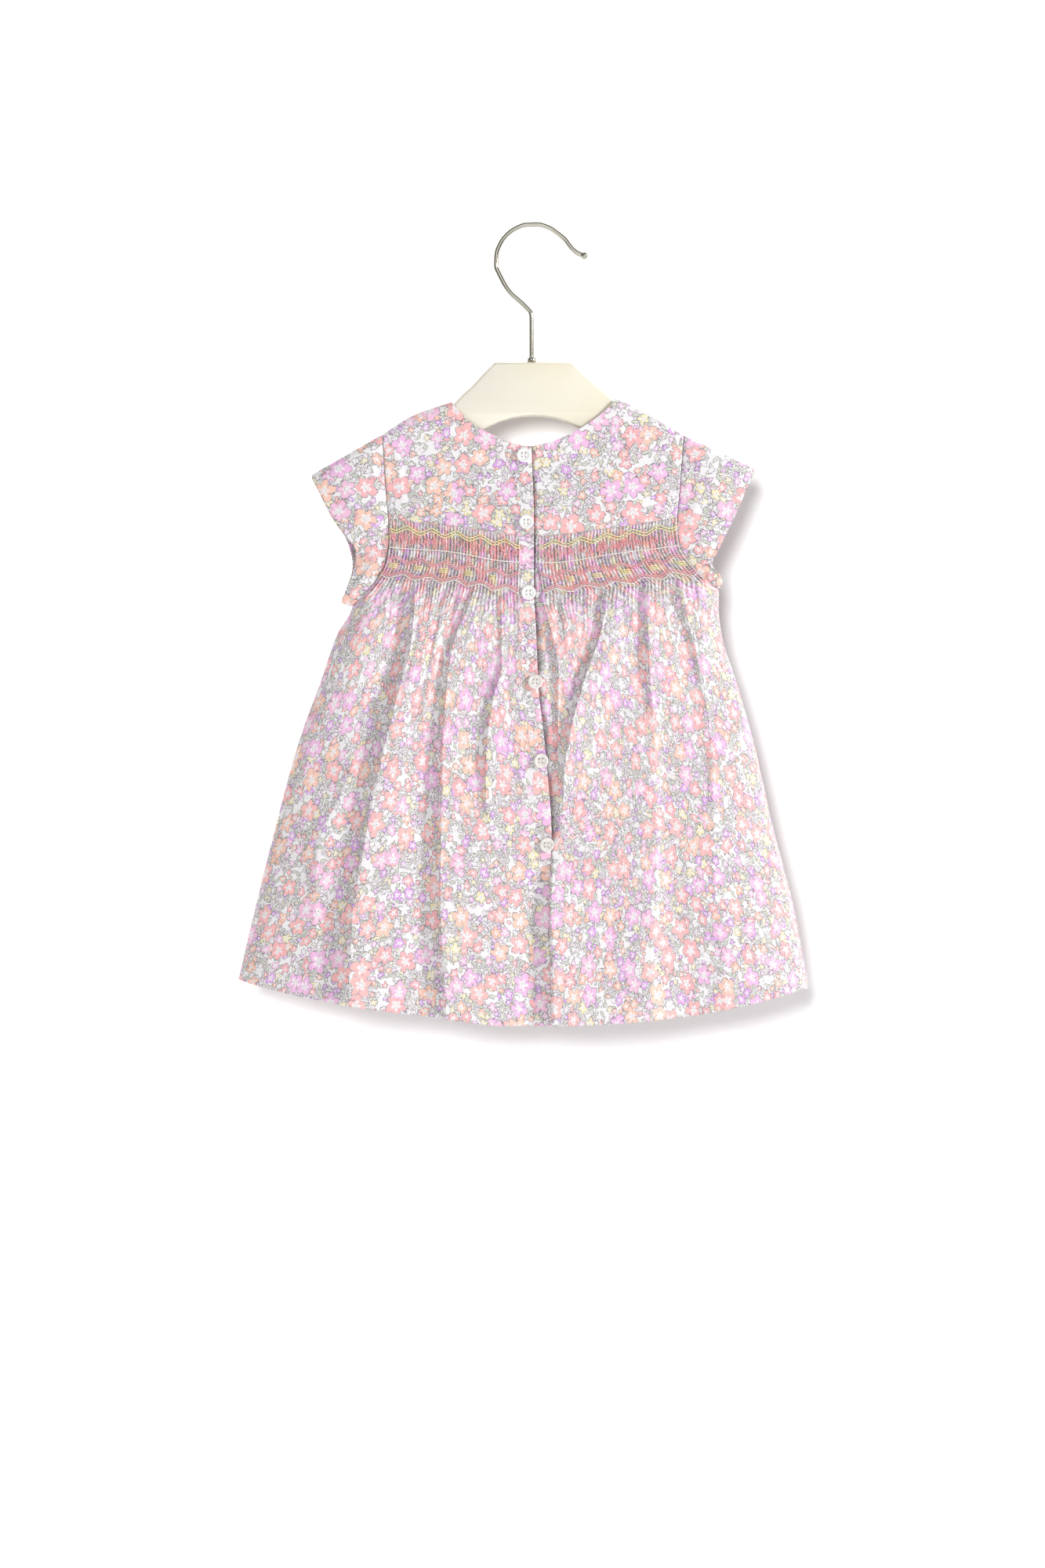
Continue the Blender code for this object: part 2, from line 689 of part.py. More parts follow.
def skirt(name, panel, material, group):
    """A skirt panel: pleated outside over a plain inner wall, closed at its four edges."""
    columns = FRONT_COLUMNS if panel == "front" else HALF_COLUMNS
    plain = np.linspace(0, 1, columns)
    sparse = np.linspace(0, 1, INNER_SMOCKED_COLUMNS * (2 if panel == "front" else 1))
    feet, tops = pleat_places(panel)
    outer, inner = [], []
    for share in SMOCKED_ROWS + SKIRT_ROWS:
        smocked = share in SMOCKED_ROWS
        height = PLEAT * (SEAM_PLEAT if share == 0 else 1.0)
        across = feet if smocked else plain
        base, outward, lift = skirt_row(panel, share, across)
        outer.append((raised(base, outward, lift + (tops * height if smocked else 0)), across))
        across = sparse if smocked else plain
        base, outward, lift = skirt_row(panel, share, across)
        inner.append((raised(base, outward, lift - SKIRT_WALL), across))
    return wall_object(name, outer, inner, material, group)


def yoke_top(panel):
    """The upper edge of a yoke, from left to right: neckline and shoulder seams."""
    neck = FRONT_NECK if panel == "front" else BACK_NECK
    end = neck[-1][0]
    over_hanger = [side * (end - into) for into in OVER_HANGER for side in (-1, 1)]
    places = sorted([row[0] for row in neck] + over_hanger)
    seam_end = RIGHT_ARMHOLE[0][1] - SEAM / 2
    shoulder = np.linspace(end, seam_end, SHOULDER_COLUMNS)[1:]
    edge = OPENING[0][1]
    if panel == "left":
        places = [place for place in places if place < edge - 3] + [edge - SEAM / 2]
    if panel == "right":
        lapped = [edge - UNDERLAP, edge, edge + 3, edge + 8]
        places = lapped + [place for place in places if place > lapped[-1] + 2]
    left = [] if panel == "right" else -shoulder[::-1]
    right = [] if panel == "left" else shoulder
    x = np.concatenate([left, places, right])
    z = np.where(np.abs(x) < end, column(neck, x), shoulder_z(x))
    return x, z


def yoke_rows(panel):
    """The outer and inner points of a yoke, row by row from its top to the seam with the skirt."""
    x_top, z_top = yoke_top(panel)
    facing = 1 if panel == "front" else -1
    low_left = armhole_x(-1, YOKE_SEAM[0][1]) + SEAM / 2
    low_right = armhole_x(1, YOKE_SEAM[-1][1]) - SEAM / 2
    seam_edge = column(OPENING, YOKE_SEAM[2][1])
    if panel == "left":
        low_right = seam_edge - SEAM / 2
    if panel == "right":
        low_left = seam_edge - UNDERLAP
    share = (x_top - x_top[0]) / (x_top[-1] - x_top[0])
    x_low = low_left + (low_right - low_left) * share
    z_low = column(YOKE_SEAM, x_low) + SEAM
    outer, inner = [], []
    for down in YOKE_ROWS:
        z = z_top + (z_low - z_top) * down
        x = x_top + (x_low - x_top) * down
        x[0] = edge_x(panel, 0, z[0], x[0])
        x[-1] = edge_x(panel, -1, z[-1], x[-1])
        depth = yoke_depth(x, z)
        if panel == "right":
            beside = ease((column(OPENING, z) + LAP_REACH / 2 - x) / (LAP_REACH / 2 - 2))
            depth = depth - (WALL + SEAM) * beside
        outer.append((np.stack([x, facing * depth, z], 1), share))
        up = 1 - shoulder_turn(x, z)
        level = np.hypot(1 - up, up)
        inner_depth = np.maximum(depth - WALL * (1 - up) / level, SEAM / 2)
        inner_z = z - WALL * SHOULDER_THICKER * up / level
        inner.append((np.stack([x, facing * inner_depth, inner_z], 1), share))
    return outer, inner


def edge_x(panel, end, z, x):
    """A yoke's row ends on the armhole seam, or on the opening's edge."""
    if end == 0 and panel != "right":
        return armhole_x(-1, z) + SEAM / 2
    if end == -1 and panel != "left":
        return armhole_x(1, z) - SEAM / 2
    if panel == "left":
        return column(OPENING, z) - SEAM / 2
    return x


def yoke(name, panel, material, group):
    outer, inner = yoke_rows(panel)
    return wall_object(name, outer, inner, material, group)


def armhole_edge(side, panel):
    """The body's outer edge round half an armhole, from the shoulder to the underarm."""
    end = 0 if side < 0 else -1
    if panel == "back":
        panel = "left" if side < 0 else "right"
    edge = [points[end] for points, _ in yoke_rows(panel)[0]]
    underarm = (LEFT_ARMHOLE if side < 0 else RIGHT_ARMHOLE)[-1][0]
    for share in SMOCKED_ROWS[1:] + SKIRT_ROWS[:2]:
        point = raised(*skirt_row(panel, share, (0.0, 1.0)))[end]
        if point[2] > underarm + WALL:
            edge.append(point)
    return np.array(edge)


def inside_ring(ring, distance):
    """A closed ring moved inwards within its own leaning plane."""
    long_axis = ring[np.argmin(ring[:, 2])] - ring[0]
    long_axis[1] = 0
    long_axis /= np.linalg.norm(long_axis)
    down = (ring - ring[0]) @ long_axis
    along_down = np.roll(down, -1) - np.roll(down, 1)
    along_y = np.roll(ring[:, 1], -1) - np.roll(ring[:, 1], 1)
    length = np.hypot(along_down, along_y)
    turn = np.sign(np.sum(down * np.roll(ring[:, 1], -1) - ring[:, 1] * np.roll(down, -1)))
    moved = ring.copy()
    moved[:, 1] += turn * distance * along_down / length
    moved -= turn * distance * (along_y / length)[:, None] * long_axis
    return moved


def sleeve_rows(side):
    """Rings of a sleeve, from the armhole seam to the hem, each round from the top by the back."""
    hems = (LEFT_HEM_BACK, LEFT_HEM_FRONT) if side < 0 else (RIGHT_HEM_BACK, RIGHT_HEM_FRONT)
    underarm = (LEFT_ARMHOLE if side < 0 else RIGHT_ARMHOLE)[-1]
    starts, ends = [], []
    for panel, table in zip(("back", "front"), hems):
        edge = armhole_edge(side, panel)
        edge[:, 0] += side * SEAM
        top = [[edge[0][0], 0.0, edge[0][2]]]
        bottom = [[underarm[1] + side * SEAM, 0.0, underarm[0] + 2 * SEAM]]
        edge = np.concatenate([top, edge[1:], bottom])
        run = np.concatenate([[0], np.cumsum(np.linalg.norm(np.diff(edge, axis=0), axis=1))])
        shares = run / run[-1]
        starts.append(edge)
        ends.append(np.stack([column(table, shares, number) for number in (1, 2, 3)], 1))
    first = np.concatenate([starts[0], starts[1][-2:0:-1]])
    last = np.concatenate([ends[0], ends[1][-2:0:-1]])
    outer, inner = [], []
    places = np.arange(len(first)) / len(first)
    for out in SLEEVE_RINGS:
        ring = first + (last - first) * out
        swell = SLEEVE_SWELL * math.sin(math.pi * out)
        ring[:, 1] += np.sign(ring[:, 1]) * swell * np.clip(np.abs(ring[:, 1]) / SLEEVE_FLAT, 0, 1)
        outer.append((ring, places))
        inner.append((inside_ring(ring, WALL), places))
    return outer, inner


def sleeve(name, side, material, group):
    outer, inner = sleeve_rows(side)
    return wall_object(name, outer, inner, material, group, ring=True)


def hanger_arm(side):
    """The outline of one arm: along its top under the cloth, round its tip and back underneath."""
    below = WALL * SHOULDER_THICKER + 4 * SEAM
    reach = np.linspace(SHOULDER[0][0], ARM_REACH - ARM_TIP_IN, 9)
    upper = [(side * x, float(shoulder_z(side * x)) - below) for x in reach]
    upper[0] = (side * (SHOULDER[0][0] - EDGE_INSET), upper[0][1] - SEAM)
    centre_x = ARM_REACH - ARM_TIP_ROUND
    centre_z = float(shoulder_z(side * reach[-1])) - ARM_TIP_DROP
    tip = []
    for turn in np.radians(np.linspace(55, -73, 5)):
        x = centre_x + ARM_TIP_ROUND * math.cos(turn)
        tip.append((side * x, centre_z + ARM_TIP_ROUND * math.sin(turn)))
    inside = np.linspace(*ARM_INSIDE, 6)
    return upper + tip + [(side * x, float(shoulder_z(side * x)) - ARM_HEIGHT) for x in inside]


def hanger_outline():
    """The hanger's front view, from its flat top round by the right arm."""
    arch = []
    for turn in np.radians(np.linspace(ARCH_TURN, -ARCH_TURN, 13)):
        arch.append((ARCH_RADIUS * math.sin(turn), ARCH_TOP - ARCH_RADIUS * (1 - math.cos(turn))))
    return list(RIGHT_SLOPE) + hanger_arm(1) + arch + hanger_arm(-1)[::-1] + list(LEFT_SLOPE)


def hanger_body(material, group):
    """A moulded plate with rounded edges, made from its front outline."""
    curve = bpy.data.curves.new("hanger_body", "CURVE")
    curve.dimensions = "2D"
    curve.fill_mode = "BOTH"
    curve.extrude = (BODY_THICK / 2 - BODY_BEVEL) * MM
    curve.bevel_depth = BODY_BEVEL * MM
    curve.offset = -BODY_BEVEL * MM
    curve.bevel_resolution = 1
    outline = hanger_outline()
    spline = curve.splines.new("POLY")
    spline.points.add(len(outline) - 1)
    for point, (x, z) in zip(spline.points, outline):
        point.co = (x * MM, z * MM, 0, 1)
    spline.use_cyclic_u = True
    made = bpy.data.objects.new("hanger_body", curve)
    made.rotation_euler = (math.pi / 2, 0, 0)
    curve.materials.append(material)
    group.objects.link(made)
    return made


def hook_line():
    """The hook's centre line, read from one smooth curve, and the wire's radius along it."""
    centre_x, centre_z = HOOK_CENTRE
    arc = []
    for turn in np.radians(np.linspace(*HOOK_ARC, 9)):
        arc.append((centre_x + HOOK_RADIUS * math.cos(turn), centre_z + HOOK_RADIUS * math.sin(turn)))
    route = np.array(HOOK_STEM + tuple(arc) + HOOK_TIP)
    run = np.concatenate([[0], np.cumsum(np.linalg.norm(np.diff(route, axis=0), axis=1))])
    end = run[-1]
    ball_radius = BALL / 2
    bent = np.linspace(STRAIGHT_STEM + WIRE, end - 2 * ball_radius, 30)
    wire = np.concatenate([[0, STRAIGHT_STEM], bent])
    ball = end - ball_radius * (1 - np.cos(np.radians(BALL_TURNS)))
    at = np.concatenate([wire, ball])
    x, z = (smooth_value(run, route[:, number], at) for number in (0, 1))
    radii = np.full(len(at), WIRE / 2)
    from_centre = at[len(wire):] - (end - ball_radius)
    radii[len(wire):] = np.sqrt(np.clip(ball_radius**2 - from_centre**2, 0, None))
    return x, z, radii


def hanger_hook(material, group):
    """Bent wire with a ball turned on its end."""
    curve = bpy.data.curves.new("hanger_hook", "CURVE")
    curve.dimensions = "3D"
    curve.bevel_depth = WIRE / 2 * MM
    curve.bevel_resolution = 2
    curve.use_fill_caps = True
    x, z, radii = hook_line()
    spline = curve.splines.new("POLY")
    spline.points.add(len(x) - 1)
    for point, px, pz, radius in zip(spline.points, x, z, radii):
        point.co = (px * MM, 0, pz * MM, 1)
        point.radius = radius / (WIRE / 2)
    made = bpy.data.objects.new("hanger_hook", curve)
    curve.materials.append(material)
    group.objects.link(made)
    return made


def turned(name, profile, steps, material, group):
    """A turned piece: its profile runs down the outer side, closed by the axis or by itself."""
    mesh = bpy.data.meshes.new(name)
    points = [(radius * MM, 0, height * MM) for radius, height in profile]
    on_axis = profile[0][0] == 0
    edges = [(i, i + 1) for i in range(len(points) - 1)]
    if not on_axis:
        edges.append((len(points) - 1, 0))
    mesh.from_pydata(points, edges, [])
    mesh.materials.append(material)
    made = bpy.data.objects.new(name, mesh)
    group.objects.link(made)
    screw = made.modifiers.new("Turn", "SCREW")
    screw.steps = steps
    screw.render_steps = steps
    screw.use_merge_vertices = True
    screw.merge_threshold = 0.05 * MM
    screw.use_smooth_shade = True
    return made


def hook_collar(material, group):
    """The small nut on the hook's stem, standing on the hanger's body."""
    bore = WIRE / 2 + SEAM
    profile = [
        (bore, COLLAR_HEIGHT),
        (COLLAR_RADIUS - 0.5, COLLAR_HEIGHT),
        (COLLAR_RADIUS, COLLAR_HEIGHT - 1),
        (COLLAR_RADIUS, 0.6),
        (COLLAR_RADIUS - 0.3, 0.0),
        (bore, 0.0),
    ]
    made = turned("hook_collar", profile, 12, material, group)
    made.location = (HOOK_STEM[0][0] * MM, 0, (BODY_TOP + SEAM) * MM)
    return made


def surface_y(x, z):
    """The outer face of the over panel or the yoke at a place near the opening."""
    seam = column(YOKE_SEAM, x)
    plain = np.where(z > seam, yoke_depth(x, z), loop_depth(x, z))
    return -(plain + np.where(z > seam, 0.0, skirt_lift("back", x, z)))


def hole_cutter(name, x, y, z, cutters):
    """Four holes through a button, as one cutter."""
    mesh = bpy.data.meshes.new(name)
    work = bmesh.new()
    for across, up in ((-1, -1), (-1, 1), (1, -1), (1, 1)):
        made = bmesh.ops.create_cone(
            work,
            cap_ends=True,
            segments=5,
            radius1=BUTTON_HOLE / 2 * MM,
            radius2=BUTTON_HOLE / 2 * MM,
            depth=3 * BUTTON_THICK * MM,
        )
        place = (across * HOLE_SPREAD * MM, up * HOLE_SPREAD * MM, 0)
        bmesh.ops.translate(work, verts=made["verts"], vec=place)
    work.to_mesh(mesh)
    work.free()
    cutter = bpy.data.objects.new(name, mesh)
    cutter.location = (x * MM, y * MM, z * MM)
    cutter.rotation_euler = (math.pi / 2, 0, 0)
    cutter.hide_render = True
    cutter.display_type = "WIRE"
    cutters.objects.link(cutter)
    return cutter


def button(number, x, z, material, group, cutters):
    """A four-hole shirt button, a rim round a dished middle, seated on the over panel."""
    radius = BUTTON / 2
    around = np.linspace(0, 2 * math.pi, 24, endpoint=False)
    rings = radius * np.array([[0.0], [0.5], [1.0]])
    across, down = x + rings * np.cos(around), z + rings * np.sin(around)
    on_cloth = across < column(OPENING, down) + 1
    seat = float(np.min(np.where(on_cloth, surface_y(across, down), 0.0))) - SEAM
    dish, rim_inside, rim_outside = BUTTON_RIM
    profile = [
        (0.0, BUTTON_THICK * BUTTON_MIDDLE),
        (radius * dish, BUTTON_THICK * BUTTON_MIDDLE),
        (radius * rim_inside, BUTTON_THICK),
        (radius * rim_outside, BUTTON_THICK),
        (radius, BUTTON_THICK * BUTTON_MIDDLE),
        (radius * BUTTON_FOOT, 0.0),
        (0.0, 0.0),
    ]
    name = f"button_{number}"
    made = turned(name, profile, BUTTON_SIDES, material, group)
    made.location = (x * MM, seat * MM, z * MM)
    made.rotation_euler = (math.pi / 2, 0, 0)
    holes = made.modifiers.new("Holes", "BOOLEAN")
    holes.operation = "DIFFERENCE"
    holes.object = hole_cutter(f"{name}_holes", x, seat, z, cutters)
    return made


def finish(name, colour, roughness, metallic=0.0):
    """A plain Principled material."""
    material = bpy.data.materials.new(name)
    material.use_nodes = True
    shader = material.node_tree.nodes["Principled BSDF"]
    shader.inputs["Base Color"].default_value = (*colour, 1)
    shader.inputs["Roughness"].default_value = roughness
    shader.inputs["Metallic"].default_value = metallic
    material.diffuse_color = (*colour, 1)
    return material


def clear_scene():
    for item in list(bpy.data.objects):
        bpy.data.objects.remove(item)


def build():
    clear_scene()
    group = bpy.data.collections.new("smocked_dress_on_hanger")
    cutters = bpy.data.collections.new("cutters")
    bpy.context.scene.collection.children.link(group)
    bpy.context.scene.collection.children.link(cutters)
    cloth = finish("printed_poplin", (0.86, 0.78, 0.80), 0.85)
    pearl = finish("pearly_button", (0.87, 0.86, 0.84), 0.3)
    cream = finish("cream_moulded_hanger", (0.93, 0.86, 0.72), 0.35)
    chrome = finish("chromed_wire", (0.75, 0.75, 0.76), 0.12, 1.0)
    hanger_body(cream, group)
    hanger_hook(chrome, group)
    hook_collar(chrome, group)
    yoke("back_yoke_left", "left", cloth, group)
    yoke("back_yoke_right", "right", cloth, group)
    yoke("front_yoke", "front", cloth, group)
    skirt("back_skirt_left", "left", cloth, group)
    skirt("back_skirt_right", "right", cloth, group)
    skirt("front_skirt", "front", cloth, group)
    sleeve("sleeve_left", -1, cloth, group)
    sleeve("sleeve_right", 1, cloth, group)
    for number, (x, z) in enumerate(BUTTONS, 1):
        button(number, x, z, pearl, group, cutters)


build()
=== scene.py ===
# %% [markdown]
# # A smocked dress on its hanger
#
# A baby's dress of printed cotton hangs from a small moulded hanger, with its buttoned back towards us.
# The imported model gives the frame: every solid has its real place and size there. This lesson puts the
# cloth, the embroidery and the finishes on it. It starts with the frame and with the box that the
# whole object must stay in.

# %% The frame
import math

import bmesh
import bpy
import numpy as np
from mathutils import Matrix, Vector


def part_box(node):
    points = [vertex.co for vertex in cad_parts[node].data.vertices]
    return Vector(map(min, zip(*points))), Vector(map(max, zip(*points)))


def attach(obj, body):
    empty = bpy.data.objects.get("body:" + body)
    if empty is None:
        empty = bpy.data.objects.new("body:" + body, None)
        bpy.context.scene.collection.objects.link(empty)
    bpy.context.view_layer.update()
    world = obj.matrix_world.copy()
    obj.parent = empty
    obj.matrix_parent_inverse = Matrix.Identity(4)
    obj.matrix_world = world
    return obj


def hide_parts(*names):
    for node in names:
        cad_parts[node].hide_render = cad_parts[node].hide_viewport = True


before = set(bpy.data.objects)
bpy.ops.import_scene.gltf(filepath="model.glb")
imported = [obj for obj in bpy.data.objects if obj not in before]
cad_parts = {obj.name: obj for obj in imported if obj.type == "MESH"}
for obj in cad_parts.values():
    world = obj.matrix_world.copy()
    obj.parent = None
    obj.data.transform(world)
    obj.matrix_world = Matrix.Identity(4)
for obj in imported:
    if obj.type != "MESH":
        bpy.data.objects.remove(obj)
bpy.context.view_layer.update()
MM = 0.001
scene = bpy.context.scene
print("nodes:", ", ".join(sorted(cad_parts)))

# %% [markdown]
# The camera stands far back with a long lens, as for a catalogue picture, so the dress shows almost no
# perspective. One metre of height fills the picture, and the picture's middle lies a little below the
# middle of the dress.

# %% The camera
VIEW_DISTANCE = 3.4
VIEW_HEIGHT = 1.0
VIEW_CENTRE = (-0.00675, -0.3555)
SENSOR = 36.0

camera = bpy.data.objects.new("camera", bpy.data.cameras.new("camera"))
camera.data.sensor_width = SENSOR
camera.data.lens = SENSOR * VIEW_DISTANCE / VIEW_HEIGHT
camera.data.clip_end = 30
camera.location = (VIEW_CENTRE[0], -VIEW_DISTANCE, VIEW_CENTRE[1])
camera.rotation_euler = (math.pi / 2, 0, 0)
scene.collection.objects.link(camera)
scene.camera = camera
scene.view_settings.view_transform = "Standard"
print("lens:", round(camera.data.lens), "mm")

# %% [markdown]
# The picture is lit in two parts, as in a studio where the backdrop has lamps of its own. Light linking
# says which things a lamp reaches. The lamps of the dress leave the wall alone, and the wall's lamp, from
# the upper left, lays a soft shadow to the right of the dress and below it. The key stands at the right,
# because the steep faces of the folds look left and lie in shade.

# %% The lights
AIM = (0.0, 0.0, -0.3)
dress_group = bpy.data.collections.new("lit with the dress")
cove_group = bpy.data.collections.new("lit with the cove")


def area_light(name, place, size, power, reaches=None, aim=AIM):
    light = bpy.data.lights.new(name, "AREA")
    light.shape = "DISK"
    light.size = size
    light.energy = power
    made = bpy.data.objects.new(name, light)
    made.location = place
    made.rotation_euler = (Vector(aim) - Vector(place)).to_track_quat("-Z", "Y").to_euler()
    made.light_linking.receiver_collection = reaches
    scene.collection.objects.link(made)


area_light("key", (2.1, -1.25, 0.45), 0.6, 40, dress_group)
area_light("front fill", (0.2, -3.0, 0.6), 1.6, 13, dress_group)
area_light("back fill", (-1.2, 2.6, 0.4), 1.6, 24, dress_group)
area_light("wall lamp", (-0.45, -2.6, 0.2), 0.95, 80, cove_group)
world = bpy.data.worlds.new("studio")
world.use_nodes = True
world.node_tree.nodes["Background"].inputs["Color"].default_value = (1.0, 0.99, 0.985, 1)
world.node_tree.nodes["Background"].inputs["Strength"].default_value = 0.3
scene.world = world

# %% [markdown]
# Colours are written as the sRGB hex values that one would read off the object, and one function turns
# them to the linear values that the shaders want. One more small function adds a node with its settings
# and its links. Every material below is made from these two.

# %% Helpers for materials


def colour(hex_value, alpha=1.0):
    """Linear colour from an sRGB hex value."""
    parts = [int(hex_value[i : i + 2], 16) / 255 for i in (1, 3, 5)]
    linear = [part / 12.92 if part <= 0.04045 else ((part + 0.055) / 1.055) ** 2.4 for part in parts]
    return (*linear, alpha)


def add(tree, kind, settings=None, **links):
    """Adds a node. A link's value is a socket or a plain value, and its name is the input's name."""
    node = tree.nodes.new(kind)
    for name, value in (settings or {}).items():
        setattr(node, name, value)
    for name, value in links.items():
        key = int(name[1:]) if name[0] == "i" and name[1:].isdigit() else name.replace("_", " ")
        socket = node.inputs[key]
        if isinstance(value, bpy.types.NodeSocket):
            tree.links.new(value, socket)
        else:
            socket.default_value = value
    return node


def new_material(name, look, base, roughness, ior=1.5, metallic=0.0):
    """A Principled material with its plain values, and its tree and shader for what follows."""
    material = bpy.data.materials.new(name)
    material.use_nodes = True
    material.diffuse_color = colour(look)
    shader = material.node_tree.nodes["Principled BSDF"]
    shader.inputs["Base Color"].default_value = colour(base)
    shader.inputs["Roughness"].default_value = roughness
    shader.inputs["IOR"].default_value = ior
    shader.inputs["Metallic"].default_value = metallic
    return material, material.node_tree, shader


def calc(tree, operation, first, second=None, third=None):
    """A Math node's result."""
    values = {f"i{number}": value for number, value in enumerate((first, second, third)) if value is not None}
    return add(tree, "ShaderNodeMath", {"operation": operation}, **values).outputs[0]


def blend(tree, factor, low, high):
    """Mixes two colours by a factor."""
    node = add(tree, "ShaderNodeMix", {"data_type": "RGBA", "clamp_factor": True})
    for name, value in (("Factor_Float", factor), ("A_Color", low), ("B_Color", high)):
        socket = next(item for item in node.inputs if item.identifier == name)
        if isinstance(value, bpy.types.NodeSocket):
            tree.links.new(value, socket)
        else:
            socket.default_value = value
    return next(item for item in node.outputs if item.identifier == "Result_Color")


def between(tree, value, low, high):
    """0 below low, 1 above high, and smooth between."""
    settings = {"interpolation_type": "SMOOTHSTEP"}
    return add(tree, "ShaderNodeMapRange", settings, Value=value, From_Min=low, From_Max=high).outputs[0]


print("helpers ready, pale pink is", [round(part, 3) for part in colour("#FDC8C8")])

# %% [markdown]
# The cloth is cotton poplin, a fine plain weave with a printed pattern of small flowers. A shader can
# draw such a print from cells: each cell of a Voronoi pattern holds one flower, and the angle and
# distance from the cell's centre say where its petals end. Three layers of flowers, from large and
# sparse to small and dense, lie over a ground of little leaves in thin grey lines. This print is a
# general one of its kind, with its own flowers in its own order. It reads the cloth's UV map, which is
# the flat cut in metres, so the print follows the grain into every pleat.

# %% The printed poplin
GROUND = "#F7F4F6"
INK = "#8F888F"
LEAVES = ("#E2E6DA", "#DDE2D3", "#ECEEE6", "#E6E6D6")
LARGE = ("#FFC3C3", "#FBCBE6", "#FFBFC2", "#FFD3C2", "#F8C6EC", "#FFC8C6")
MEDIUM = ("#E8B2F0", "#FFC2C1", "#F9EFC6", "#FFCDB9", "#FBCDEB", "#F4F1F3", "#FFBCC0")
SMALL = ("#DFA8EE", "#FFB9BC", "#F3EFF3", "#FFC7B4", "#F8D2EE", "#F6ECC4", "#F3EFF3", "#EFC3F2")
THREAD_PITCH = 0.00055  # real poplin has half of this, which would be too fine to show
INK_LINE = 0.00017  # half the width of the printed line


def random_parts(tree, vector):
    """Three random numbers for a place."""
    white = add(tree, "ShaderNodeTexWhiteNoise", {"noise_dimensions": "3D"}, Vector=vector)
    return add(tree, "ShaderNodeSeparateColor", Color=white.outputs["Color"]).outputs


def pick(tree, number, hexes):
    """One of the colours, by a number from 0 to 1."""
    ramp = add(tree, "ShaderNodeValToRGB", Fac=number)
    ramp.color_ramp.interpolation = "CONSTANT"
    while len(ramp.color_ramp.elements) < len(hexes):
        ramp.color_ramp.elements.new(1.0)
    for step, hex_value in enumerate(hexes):
        ramp.color_ramp.elements[step].position = step / len(hexes)
        ramp.color_ramp.elements[step].color = colour(hex_value)
    return ramp.outputs["Color"]


def cells_of(tree, place, cell, shift, randomness):
    """A Voronoi pattern's cells: the vector from each centre, its length, and three random numbers."""
    moved = add(tree, "ShaderNodeVectorMath", {"operation": "ADD"}, i0=place, i1=(*shift, 0)).outputs[0]
    sizes = {"Scale": 1 / cell, "Randomness": randomness}
    cells = add(tree, "ShaderNodeTexVoronoi", {"voronoi_dimensions": "2D"}, Vector=moved, **sizes)
    centre = cells.outputs["Position"]
    inside = add(tree, "ShaderNodeVectorMath", {"operation": "SUBTRACT"}, i0=moved, i1=centre).outputs[0]
    away = add(tree, "ShaderNodeVectorMath", {"operation": "LENGTH"}, i0=inside).outputs["Value"]
    return inside, away, random_parts(tree, centre), centre


def inked(tree, below, shape, tint, apart, shown, ink=0.85):
    """Lays a tinted shape with its drawn outline over the colour below."""
    line = between(tree, calc(tree, "ABSOLUTE", apart), INK_LINE * 1.9, INK_LINE * 0.9)
    result = blend(tree, calc(tree, "MULTIPLY", shape, shown), below, tint)
    return blend(tree, calc(tree, "MULTIPLY", calc(tree, "MULTIPLY", line, shown), ink), result, colour(INK))


